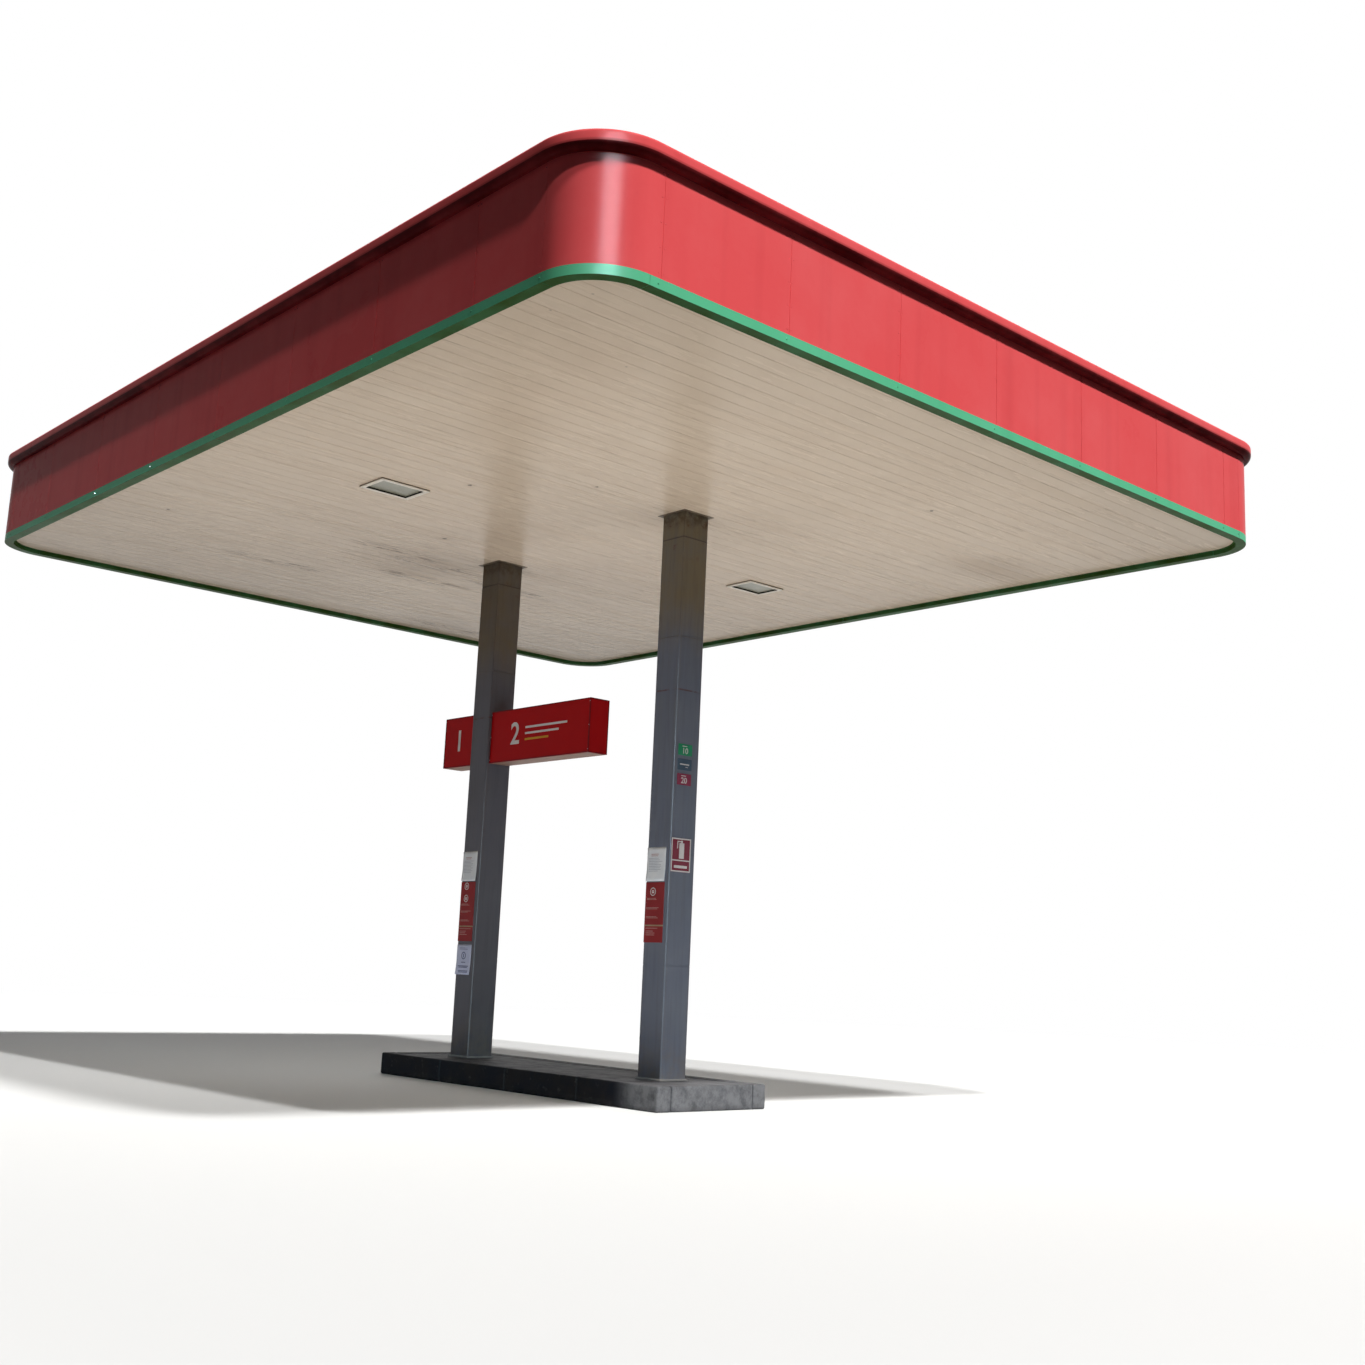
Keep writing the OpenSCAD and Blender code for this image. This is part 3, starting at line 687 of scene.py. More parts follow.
def zincSheet(name, look, spangleSize):
    # galvanised steel with spangle and dull stains
    material, tree, skin = newMaterial(name)
    spangle = addNode(tree, "TexVoronoi", objectPlace(tree), Scale=spangleSize)
    split = addNode(tree, "SeparateColor", spangle.outputs["Color"]).outputs
    base = mixColour(tree, split[0], look["dark"], look["light"])
    air = useGroup(tree, weather, Streak_Width=6.0, Dust_Size=1.4)
    base = tint(tree, base, air["Dust"], 0.45, look["stain"])
    rough = mathNode(tree, "MULTIPLY_ADD", split[1], 0.2, look["roughness"])
    setSkin(tree, skin, Base_Color=base, Metallic=0.75, Roughness=rough)
    sheetBump(tree, skin, 0.4, 0.004, 3.0)
    return material


islandLook = {
    # a black kerb, darkened further as painted shade
    "colour": (0.005, 0.006, 0.010),
    "brown": (0.012, 0.010, 0.009),
    # pale colour of a painted patch of sunlight on the near end
    "worn": (0.150, 0.152, 0.160),
    "chipped": (0.05, 0.048, 0.046),
    "dust": (0.085, 0.080, 0.082),
    "wornFrom": 1.45,
    "roughness": 0.7,
    "specular": 0.02,
}


def islandConcrete(look):
    # dark dirty kerb whose near-black colour is partly painted shade, its near end painted pale as a patch of
    # sunlight, and its top dusty
    material, tree, skin = newMaterial("islandConcrete")
    place = objectPlace(tree)
    along, across, height = splitPlace(tree, place)
    cloudy = noiseMask(tree, place, 3.0, 8, 0.7, 0.35, 0.7)
    base = mixColour(tree, cloudy, look["colour"], look["brown"])
    base = tint(tree, base, noiseMask(tree, place, 16.0, 6, 0.65, 0.60, 0.68), 0.35, look["chipped"])
    # painted sunlight on the near end, broken up by noise
    end = rampMask(tree, along, look["wornFrom"], look["wornFrom"] + 0.35)
    sunlitBreakup = mathNode(tree, "MULTIPLY_ADD", noiseMask(tree, place, 8.0, 8, 0.72, 0.30, 0.62), 0.5, 0.4)
    base = mixColour(tree, product(tree, sunlitBreakup, end), base, look["worn"])
    dusty = product(tree, rampMask(tree, splitPlace(tree, surfaceNormal(tree))[2], 0.6, 0.95),
                    noiseMask(tree, place, 5.0, 6, 0.7, 0.30, 0.62))
    base = tint(tree, base, dusty, 0.7, look["dust"])
    base = tint(tree, base, product(tree, rampMask(tree, height, 0.06, 0.0), cloudy), 0.5, look["dust"])
    setSkin(tree, skin, Base_Color=base, Roughness=look["roughness"], Specular_IOR_Level=look["specular"])
    bumpFrom(tree, skin, noiseOf(tree, place, 90.0, 6, 0.7), 0.5, 0.004)
    return material


glassLook = {"colour": (0.39, 0.365, 0.265), "dark": (0.275, 0.275, 0.20), "roughness": 0.3, "clear": 0.15}


def frostedGlass(look):
    # frosted cover glass with a fine prism pattern
    material, tree, skin = newMaterial("frostedGlass")
    place = objectPlace(tree)
    base = mixColour(tree, noiseOf(tree, place, 8.0, 4), look["colour"], look["dark"])
    setSkin(tree, skin, Base_Color=base, Roughness=look["roughness"], Transmission_Weight=look["clear"])
    prisms = addNode(tree, "TexVoronoi", place, Scale=120.0, Randomness=0.0)
    bumpFrom(tree, skin, prisms.outputs["Distance"], 0.5, 0.002)
    return material


printLooks = {  # fresh and faded colour, and roughness
    "paperWhite": ((0.74, 0.77, 0.82), (0.82, 0.84, 0.86), 0.7),
    "paperViolet": ((0.50, 0.53, 0.72), (0.60, 0.62, 0.78), 0.7),
    "printGrey": ((0.34, 0.35, 0.40), (0.44, 0.45, 0.50), 0.6),
    "printViolet": ((0.10, 0.11, 0.22), (0.16, 0.17, 0.30), 0.6),
    "tapeTan": ((0.27, 0.18, 0.10), (0.34, 0.24, 0.15), 0.6),
    "posterRed": ((0.215, 0.006, 0.007), (0.245, 0.010, 0.011), 0.45),
    "posterWhite": ((0.62, 0.60, 0.60), (0.72, 0.70, 0.70), 0.5),
    "printPink": ((0.42, 0.20, 0.18), (0.50, 0.27, 0.25), 0.5),
    "signOchre": ((0.50, 0.25, 0.02), (0.56, 0.30, 0.04), 0.45),
    "plateGreen": ((0.006, 0.20, 0.082), (0.014, 0.235, 0.105), 0.45),
    "plateSlate": ((0.032, 0.060, 0.095), (0.048, 0.080, 0.12), 0.45),
    "plateMaroon": ((0.20, 0.008, 0.040), (0.24, 0.016, 0.055), 0.45),
    "safetyRed": ((0.165, 0.006, 0.022), (0.20, 0.012, 0.032), 0.45),
    # painted shade: the dark ring in the lights' shadow gap
    "gasketBrown": ((0.13, 0.105, 0.08), (0.18, 0.145, 0.11), 0.6),
    # near-black for the recess walls inside the lights' frames
    "liningBlack": ((0.006, 0.006, 0.005), (0.014, 0.012, 0.010), 0.6),
    "sealantGrey": ((0.13, 0.125, 0.12), (0.20, 0.18, 0.16), 0.7),
}


def printedPlate(name, colour, faded, roughness):
    # printed board or paper, slightly faded
    material, tree, skin = newMaterial(name)
    place = objectPlace(tree)
    cloudy = noiseMask(tree, place, 9.0, 5, 0.6, 0.3, 0.8)
    setSkin(tree, skin, Base_Color=mixColour(tree, cloudy, colour, faded), Specular_IOR_Level=0.12,
            Roughness=mathNode(tree, "MULTIPLY_ADD", cloudy, 0.15, roughness))
    bumpFrom(tree, skin, noiseOf(tree, place, 30.0, 3), 0.25, 0.001)
    return material


coats = {name: paintedSheet(name, look) for name, look in coatLooks.items()}
prints = {name: printedPlate(name, *look) for name, look in printLooks.items()}
columnGrey = columnPaint(columnLook, canopy["columnX"], canopy["columnHalf"])
galvanised = zincSheet("galvanised", zincLook, 45.0)
screwZinc = zincSheet("screwZinc", screwLook, 300.0)
islandDark = islandConcrete(islandLook)
ceilingCreams = {bay: ceilingPaint("ceilingCream_" + bay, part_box("ceiling_" + bay)[0].x, ceilingLook)
                 for bay in ("left", "middle", "right")}

slotMaterials = {
    "island_concrete": islandDark,
    "column_paint": columnGrey,
    "collar_sheet": coats["collarBrown"],
    "frame_steel": coats["framePrimer"],
    "purlin_steel": galvanised,
    "roof_sheet": galvanised,
    "gutter_sheet": galvanised,
    "light_frame_paint": coats["lightFrameCream"],
    "light_glass": frostedGlass(glassLook),
    "band_green": coats["bandGreen"],
    "fascia_red": coats["fasciaRed"],
    "sign_red": coats["signRed"],
    "notice_print": prints["paperWhite"],
    "number_plate": prints["plateGreen"],
    "safety_print": prints["safetyRed"],
}


def dressNodes():
    # every carried-over node takes the material of its slot, and each ceiling bay its own
    for part in frame["record"]["subparts"]:
        data = frame["nodes"][part["node"]].data
        bay, slot = part["node"].replace("ceiling_", ""), part["material_slot"]
        data.materials.clear()
        data.materials.append(ceilingCreams[bay] if bay in ceilingCreams else slotMaterials[slot])


dressNodes()
print("materials ready")


# Rivets at the fascia joints, screws in the band and in the coping

fixingSet = {
    "rivet": (0.0055, 0.0016),  # radius and rise of the head
    "rivetInset": 0.018,
    "rivetRows": 5,
    "rivetMargin": 0.035,
    "rivetFree": 0.180,
    "bandScrew": (0.008, 0.0048, 0.004),  # radius of the washer and of the head, and rise
    "renewed": ((2, 6), (2, 5)),
    "bandDome": (0.005, 0.002),
    "bandPitch": 0.58,
    "returnMiddle": 0.045,
    "copingScrew": (0.009, 0.0055, 0.005),
    "copingFace": 0.110,
    "copingDrop": 0.035,
    "copingPitch": 0.46,
    "jointGap": 0.004,
    "jointBack": 0.0024,
    "jointThick": 0.003,
    "jointLift": 0.002,
    "jointTop": 0.15,
}


def fixEdge(values):
    rivets, screws, painted, fillers = (bmesh.new() for index in range(4))
    outward, low = turnTo(0, 1, 0), canopy["fasciaBottom"]
    step = (canopy["fasciaTop"] - low - values["rivetFree"]) / (values["rivetRows"] - 1)
    back, half = -values["jointBack"], values["jointGap"] / 2
    for side in range(4):
        place, reach = sideMatrix(side), halfRun(side)
        for index, joint in enumerate(panelJoints(side)):
            for offset in (1,) if index == 0 else (-1, 1):
                x = joint + offset * values["rivetInset"]
                for row in range(values["rivetRows"]):
                    at = shift(x, 0, low + values["rivetMargin"] + row * step)
                    addDome(rivets, place @ at @ outward, *values["rivet"])
            # a strip behind the gap between two panels
            addBox(fillers, (joint - half, back - values["jointThick"], low + values["jointLift"]),
                   (joint + half, back, canopy["fasciaTop"] - values["jointTop"]), place=place)
            at = shift(joint + values["rivetInset"], 0, (canopy["bandBottom"] + low) / 2)
            heads = screws if (side, index) in values["renewed"] else painted
            addScrew(heads, place @ at @ outward, *values["bandScrew"])
        for x in evenPlaces(-reach, reach, values["bandPitch"]):
            at = shift(x, -values["returnMiddle"], canopy["bandBottom"])
            addDome(painted, place @ at @ turnTo(0, 0, -1), *values["bandDome"])
        for x in evenPlaces(-reach, reach, values["copingPitch"]):
            at = shift(x, -values["copingFace"], canopy["fasciaTop"] - values["copingDrop"])
            addScrew(screws, place @ at @ turnTo(0, -1, 0), *values["copingScrew"])
    meshPiece("fascia_rivets", rivets, coats["fasciaRed"], smooth=True)
    meshPiece("fascia_joint_strips", fillers, coats["fasciaRed"])
    meshPiece("band_screws", painted, coats["bandGreen"])
    meshPiece("edge_screws", screws, screwZinc)


fixEdge(fixingSet)
print("edge fixings ready")


# Cornice: one folded sheet round the edge, with a rolled top, a rolled underside and a coping behind

corniceSet = {
    "out": 0.060,
    "under": 0.120,
    "rollTop": (0.025, 6),  # radius and segments
    "rollUnder": (0.050, 10),
    "coping": 0.110,
    "leg": 0.060,
    "sheet": 0.003,
    "steps": 24,
    "merge": 0.0002,
    "sharp": 35,
}


def makeCornice(values):
    bm = bmesh.new()
    start = sideMatrix(0) @ shift(halfRun(0), 0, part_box("cornice_corners")[1].z)
    out, under, back = values["out"], values["under"], values["coping"]
    outline = ((-back, -values["leg"]), (-back, 0), (out, 0), (out, -under), (0, -under))
    corners = [bm.verts.new(start @ Vector((0, y, z))) for y, z in outline]
    for ends in zip(corners, corners[1:]):
        bm.edges.new(ends)
    for corner, (radius, segments) in ((corners[2], values["rollTop"]), (corners[3], values["rollUnder"])):
        bmesh.ops.bevel(bm, geom=[corner], offset=radius, offset_type="OFFSET", segments=segments, profile=0.5,
                        affect="VERTICES", material=-1)
    strip = list(bm.edges)
    for side in range(4):
        made = bmesh.ops.extrude_edge_only(bm, edges=strip)["geom"]
        moved = ofKind(made, bmesh.types.BMVert)
        along = sideMatrix(side).to_3x3() @ Vector((-2 * halfRun(side), 0, 0))
        bmesh.ops.translate(bm, verts=moved, vec=along)
        edges = [edge for edge in ofKind(made, bmesh.types.BMEdge) if all(vert in moved for vert in edge.verts)]
        centre = sideMatrix(side) @ Vector((-halfRun(side), -canopy["cornerRadius"], 0))
        swept = bmesh.ops.spin(bm, geom=moved + edges, cent=centre, axis=(0, 0, 1), angle=math.pi / 2,
                               steps=values["steps"])
        strip = ofKind(swept["geom_last"], bmesh.types.BMEdge)
    bmesh.ops.remove_doubles(bm, verts=bm.verts, dist=values["merge"])
    bmesh.ops.recalc_face_normals(bm, faces=bm.faces)
    bmesh.ops.solidify(bm, geom=bm.faces[:], thickness=values["sheet"])
    bmesh.ops.recalc_face_normals(bm, faces=bm.faces)
    cornice = meshPiece("cornice_sheet", bm, coats["fasciaRed"], smooth=True)
    cornice.data.set_sharp_from_angle(angle=math.radians(values["sharp"]))
    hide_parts("cornice_front", "cornice_back", "cornice_left", "cornice_right", "cornice_corners")


makeCornice(corniceSet)
print("cornice ready")


# Sign box: dark trims round the faces, an underside painted pale as light thrown up from the ground, and small
# screws

signSet = {
    "trim": 0.010,
    "thick": 0.0025,
    "underThick": 0.002,
    "underBevel": 0.001,
    "screw": (0.0035, 0.0015),
    "screwInset": 0.03,
}


def dressSign(values):
    trims, under, screws = bmesh.new(), bmesh.new(), bmesh.new()
    trim, thick, deep = values["trim"], values["thick"], values["underThick"]
    facesLow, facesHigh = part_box("sign_faces")
    for node in ("sign_box_long", "sign_box_short"):
        low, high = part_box(node)
        low.y, high.y = facesLow.y, facesHigh.y
        middle, size = (low + high) / 2, high - low
        for side, turn in ((-1, frontFace), (1, backFace)):
            addFrame(trims, shift(middle.x, side * size.y / 2, middle.z) @ turn, size.x, size.z, trim, thick)
            for x in (-1, 1):
                for z in (-1, 0, 1):
                    at = shift(middle.x + x * (size.x - trim) / 2, side * (size.y / 2 + thick),
                               middle.z + z * (size.z / 2 - values["screwInset"]))
                    addDome(screws, at @ turn, *values["screw"])
        end, turn = (high.x, rightFace) if node == "sign_box_long" else (low.x, leftFace)
        addFrame(trims, shift(end, 0, middle.z) @ turn, size.y + 2 * thick, size.z, trim, thick)
        addBox(under, (low.x + trim, low.y + trim, low.z - deep), (high.x - trim, high.y - trim, low.z + deep),
               values["underBevel"])
    meshPiece("sign_trims", trims, coats["signTrim"])
    meshPiece("sign_undersides", under, coats["signUnder"])
    meshPiece("sign_screws", screws, screwZinc, smooth=True)


dressSign(signSet)
print("sign ready")


# Notices on the front faces of the columns: papers, red boards with plain marks, and a tape between

noticeSet = {
    "width": 0.235,
    "shift": 0.022,
    "paperHeight": 0.285,
    "paperThick": 0.0006,
    "paperPrint": 0.0004,
    "paperFace": 0.0036,
    "curl": 0.010,
    "curlFrom": 0.12,  # share of the height below the middle that stays flat
    "bulge": 0.0012,
    "stripHeight": 0.137,
    "gap": 0.008,
    "lastGap": 0.033,
    "tops": (2.144, 2.107),
    "posters": (0.423, 0.357),
    "board": 0.003,
    "boardBevel": 0.0009,
    "printThick": 0.0005,
    "rings": ((0.09, 0.37), (0.21,)),  # shares of a poster's height
    "ringAlong": -0.10,
    "ringDrop": 0.004,
    "ring": (0.035, 0.028),
    "dot": (0.0147, 0.0056),
    "bars": ((0.50, 0.66, 0.86), (0.37, 0.59, 0.80)),
    "tapeThick": 0.0006,
    "tapeIn": 0.0002,
    "tapeOver": 0.002,
    # blocks of bars: drop, start and length in widths of the sheet, number, pitch and height
    "paperBars": (0.055, 0, 0.55, 2, 0.014, 0.004),
    "paperRules": (0.090, 0, 0.78, 9, 0.0135, 0.003),
    "stripBars": ((0.016, -0.02, 0.80, 1, 0.010, 0.005), (0.040, -0.14, 0.52, 3, 0.016, 0.005)),
    "violetBars": (0.030, 0, 0.6, 2, 0.012, 0.004),
    "posterBars": (-0.04, 0.74, 2, 0.010, 0.0045),  # their drops are the shares in bars
    "violetDrop": 0.105,
    "violetRing": (0.036, 0.027),
    "violetMark": (-0.006, -0.122, 0.006, -0.090),
    "violetRules": ((0.165, 0.30), (0.200, 0.72), (0.212, 0.60), (0.246, 0.74), (0.258, 0.66)),
    "violetRule": 0.007,
    "leastBar": 0.62,
}
noticeSkins = {
    "notice_papers": "paperWhite",
    "notice_paper_violet": "paperViolet",
    "notice_boards": "posterRed",
    "notice_marks": "posterWhite",
    "notice_lines": "printPink",
    "notice_rules": "printGrey",
    "notice_dark_rules": "printViolet",
    "notice_tape": "tapeTan",
}


def addPaper(bm, middle, top, values):
    # a sheet of paper whose lower corners lift off the column
    width, height = values["width"], values["paperHeight"]
    made = bmesh.ops.create_grid(bm, x_segments=10, y_segments=12, size=0.5,
                                 matrix=Matrix.Diagonal((width, height, 1, 1)))
    for vert in made["verts"]:
        low = max(0.0, -vert.co.y / height - values["curlFrom"])
        side = 3 * abs(vert.co.x) / width
        wander = noise.noise(Vector((vert.co.x * 14 + middle, vert.co.y * 9, top))) + 1
        vert.co.z += values["bulge"] * wander + values["curl"] * low * side * side
    faces = list({face for vert in made["verts"] for face in vert.link_faces})
    solid = bmesh.ops.solidify(bm, geom=faces, thickness=values["paperThick"])
    verts = {vert for face in faces for vert in face.verts} | set(ofKind(solid["geom"], bmesh.types.BMVert))
    place = shift(middle, -canopy["columnHalf"], top - height / 2) @ frontFace
    bmesh.ops.transform(bm, matrix=place, verts=list(verts))


def addBars(bm, sheet, thick, drop, start, share, rows, pitch, height):
    # plain rules of uneven length, one under the other
    width, least = noticeSet["width"], noticeSet["leastBar"]
    place, left = sheet @ shift(start * width, -drop, 0), -share * width / 2
    for row in range(rows):
        length = share * width * (least + (1 - least) * random.random())
        addPatch(bm, place, thick, left, -row * pitch - height, left + length, -row * pitch)


def makeNotices(values):
    made = {name: bmesh.new() for name in noticeSkins}
    papers, violet, boards, marks, lines, rules, darkRules, tape = made.values()
    face, width, board = -canopy["columnHalf"], values["width"], values["board"]
    ink, thick = values["paperPrint"], values["printThick"]
    for index, sign in enumerate((-1, 1)):
        middle, top = sign * canopy["columnX"] - values["shift"], values["tops"][index]
        left, right = middle - width / 2, middle + width / 2
        addPaper(papers, middle, top, values)
        sheet = shift(middle, face - values["paperFace"], top) @ frontFace
        addBars(lines, sheet, ink, *values["paperBars"])
        addBars(rules, sheet, ink, *values["paperRules"])
        top -= values["paperHeight"] + values["gap"]
        # the poster, with rings and rules at chosen shares of its height
        height = values["posters"][index]
        addBox(boards, (left, face - board, top - height), (right, face, top), values["boardBevel"])
        poster = shift(middle, face - board, top) @ frontFace
        for share in values["rings"][index]:
            centre = poster @ shift(width * values["ringAlong"], -height * share - values["ringDrop"], 0)
            addRound(marks, centre, *values["ring"], thick)
            addRound(marks, centre, *values["dot"], thick, 16)
        for share in values["bars"][index]:
            addBars(lines, poster, thick, height * share, *values["posterBars"])
        top -= height
        addBox(tape, (left, face - board - values["tapeThick"], top - values["gap"] - values["tapeOver"]),
               (right, face - values["tapeIn"], top + values["tapeOver"]))
        # the strip below, with one heading and three lines
        top, height = top - values["gap"], values["stripHeight"]
        addBox(boards, (left, face - board, top - height), (right, face, top), values["boardBevel"])
        strip = shift(middle, face - board, top) @ frontFace
        for bars in values["stripBars"]:
            addBars(lines, strip, thick, *bars)
        top -= height + values["lastGap"]
        if sign < 0:
            addPaper(violet, middle, top, values)
            sheet = shift(middle, face - values["paperFace"], top) @ frontFace
            addBars(darkRules, sheet, ink, *values["violetBars"])
            addRound(darkRules, sheet @ shift(0, -values["violetDrop"], 0), *values["violetRing"], ink)
            addPatch(darkRules, sheet, ink, *values["violetMark"])
            for drop, share in values["violetRules"]:
                half = width * share / 2
                addPatch(darkRules, sheet, ink, -half, -drop - values["violetRule"], half, -drop)
    for name, bm in made.items():
        smooth = name.startswith("notice_paper")
        piece = meshPiece(name, bm, prints[noticeSkins[name]], smooth)
        if name == "notice_boards":
            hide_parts("column_notices")


makeNotices(noticeSet)
print("notices ready")


# Number plates and the safety sign on the right face of the right column

plateSet = {
    "height": 0.097,
    "pitch": 0.127,
    "bevel": 0.0009,
    "digit": 0.070,
    "digitMove": (-0.002, -0.012, 0),
    "printThick": 0.0006,
    "plates": (  # skin, number, and rules as left, bottom, right and top from the plate's middle
        ("plateGreen", "10", ((-0.036, 0.027, 0.020, 0.033),)),
        ("plateSlate", "", ((-0.055, -0.004, 0.050, 0.006), (0.010, -0.024, 0.036, -0.019))),
        ("plateMaroon", "20", ((-0.036, 0.027, 0.020, 0.033),)),
    ),
    "border": 0.011,
    "borderIn": 0.002,
    "divider": 0.66,
    "dividerHalf": 0.005,
    "dividerIn": 0.008,
    "upright": (-0.022, -0.078, 0.034, 0.052, 0.014),
    "arms": ((-0.004, 0.046, 0.016, 0.074), (-0.046, 0.060, -0.004, 0.070), (-0.046, 0.006, -0.036, 0.066)),
    "line": (-0.074, -0.016, 0.074, 0.006),
}


def addDigits(bm, text, size, place, thick):
    # plain numbers as a mesh, centred
    curve = bpy.data.curves.new("digits", "FONT")
    holder = addObject("digits", curve, body=text, size=size, align_x="CENTER", align_y="CENTER",
                       extrude=thick / 2, offset=size * 0.014, resolution_u=4)
    bpy.context.view_layer.update()
    mesh = bpy.data.meshes.new_from_object(holder.evaluated_get(bpy.context.evaluated_depsgraph_get()))
    mesh.transform(place @ shift(0, 0, thick / 2))
    bm.from_mesh(mesh)
    bpy.data.objects.remove(holder)
    bpy.data.curves.remove(curve)
    bpy.data.meshes.remove(mesh)


def makePlates(values):
    low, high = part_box("number_plates")
    middle, marks, thick = (low.y + high.y) / 2, bmesh.new(), values["printThick"]
    for index, (skin, number, rules) in enumerate(values["plates"]):
        top = high.z - index * values["pitch"]
        bm = bmesh.new()
        addBox(bm, (low.x, low.y, top - values["height"]), (high.x, high.y, top), values["bevel"])
        plate = meshPiece("number_plate_" + str(index + 1), bm, prints[skin])
        if index == 0:
            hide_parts("number_plates")
        centre = shift(high.x, middle, top - values["height"] / 2) @ rightFace
        if number:
            addDigits(marks, number, values["digit"], centre @ shift(*values["digitMove"]), thick)
        for rule in rules:
            addPatch(marks, centre, thick, *rule)
    # the safety sign: a border, a divider, a plain upright shape and a line below it
    low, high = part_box("safety_sign")
    size = high - low
    centre = shift(high.x, (low.y + high.y) / 2, (low.z + high.z) / 2) @ rightFace
    addFrame(marks, centre, size.y - values["borderIn"], size.z - values["borderIn"], values["border"], thick)
    split, half = (0.5 - values["divider"]) * size.z, size.y / 2 - values["dividerIn"]
    addPatch(marks, centre, thick, -half, split - values["dividerHalf"], half, split + values["dividerHalf"])
    upper = centre @ shift(0, (split + size.z / 2) / 2, 0)
    for shape in (values["upright"], *values["arms"]):
        addPatch(marks, upper, thick, *shape)
    addPatch(marks, centre @ shift(0, (split - size.z / 2) / 2, 0), thick, *values["line"])
    meshPiece("plate_marks", marks, prints["posterWhite"])


makePlates(plateSet)
print("plates ready")


# Plain lane numbers on both sides of the sign box, with a few bars beside the longer side's number

laneSet = {
    "digit": 0.300,
    "thick": 0.0015,
    "left": 0.24,
    "barStart": 0.16,
    "barHalf": 0.010,
    "barPitch": 0.058,
    "bars": (0.42, 0.34, 0.24),
}


def numberSign(values):
    white, ochre = bmesh.new(), bmesh.new()
    thick, half, start = values["thick"], values["barHalf"], values["barStart"]
    facesLow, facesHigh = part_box("sign_faces")
    for node, number, bars in (("sign_box_short", "1", ()), ("sign_box_long", "2", values["bars"])):
        low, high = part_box(node)
        middle, width = (low + high) / 2, high.x - low.x
        left = -width * values["left"] if bars else 0
        for face, turn in ((facesLow.y, frontFace), (facesHigh.y, backFace)):
            place = shift(middle.x, face, middle.z) @ turn @ shift(left, 0, 0)
            addDigits(white, number, values["digit"], place, thick)
            for row, share in enumerate(bars):
                y, bm = (1 - row) * values["barPitch"], ochre if row == 2 else white
                addPatch(bm, place, thick, start, y - half, start + width * share, y + half)
    meshPiece("sign_numbers", white, prints["posterWhite"])
    meshPiece("sign_bars", ochre, prints["signOchre"])


numberSign(laneSet)
print("sign numbers ready")


# Columns: screws at the cladding joints and a bead of sealant at the foot

columnSet = {
    "joints": (1.125, 3.46, 3.925, 4.81),
    "jointHalf": 0.002,
    "screw": (0.0042, 0.0018),
    "screwX": 0.118,
    "screwGap": 0.022,
    "bead": 0.014,
    "beadIn": 0.003,
    "beadSunk": 0.006,
    "beadFoot": 0.001,
}


def dressColumns(values):
    screws, beads = bmesh.new(), bmesh.new()
    half, top, bead = canopy["columnHalf"], canopy["islandTop"], values["bead"]
    for centre in (-canopy["columnX"], canopy["columnX"]):
        for turn in range(4):
            face = shift(centre, 0, 0) @ turned("Z", 90 * turn)
            for joint in values["joints"]:
                for x in (-values["screwX"], values["screwX"]):
                    for z in (-values["screwGap"], values["screwGap"]):
                        at = shift(x, -half, joint + values["jointHalf"] + z)
                        addDome(screws, face @ at @ frontFace, *values["screw"])
        place, width = shift(centre, 0, top - values["beadSunk"]), 2 * (half + bead)
        ring = addFrame(beads, place, width, width, bead + values["beadIn"], bead + values["beadSunk"])
        # the bead's outer upper edge comes down, which makes it a fillet
        for vert in ring:
            out = max(abs(vert.co.x - centre), abs(vert.co.y)) > half + bead / 2
            if out and vert.co.z > top:
                vert.co.z = top + values["beadFoot"]
    meshPiece("column_screws", screws, columnGrey, smooth=True)
    meshPiece("column_beads", beads, prints["sealantGrey"])


dressColumns(columnSet)
print("columns ready")


# Island: kerb units with worn edges round a filled middle

islandSet = {
    "kerb": 0.150,
    "unit": 1.0,
    "gap": 0.006,
    "bevel": 0.016,
    "rough": 0.0022,
    "cuts": 5,
    "uncut": 0.12,
    "wear": (11, 0.8, 2.1, 4),  # scale, falling off, step and number of the noise's layers
    "coreIn": 0.015,
    "coreLift": 0.002,
    "fillDrop": 0.005,
    "fillLift": 0.1,
    "fillBevel": 0.004,
}


def roughen(bm, values):
    # wears a block: its surface wanders inwards a little, more at the edges
    longEdges = [edge for edge in bm.edges if edge.calc_length() > values["uncut"]]
    bmesh.ops.subdivide_edges(bm, edges=longEdges, cuts=values["cuts"], use_grid_fill=True)
    bm.normal_update()
    scale, *layers = values["wear"]
    for vert in bm.verts:
        worn = noise.fractal(vert.co * scale, *layers) * 0.5 + 0.5
        vert.co -= vert.normal * values["rough"] * max(0.0, min(1.0, worn))


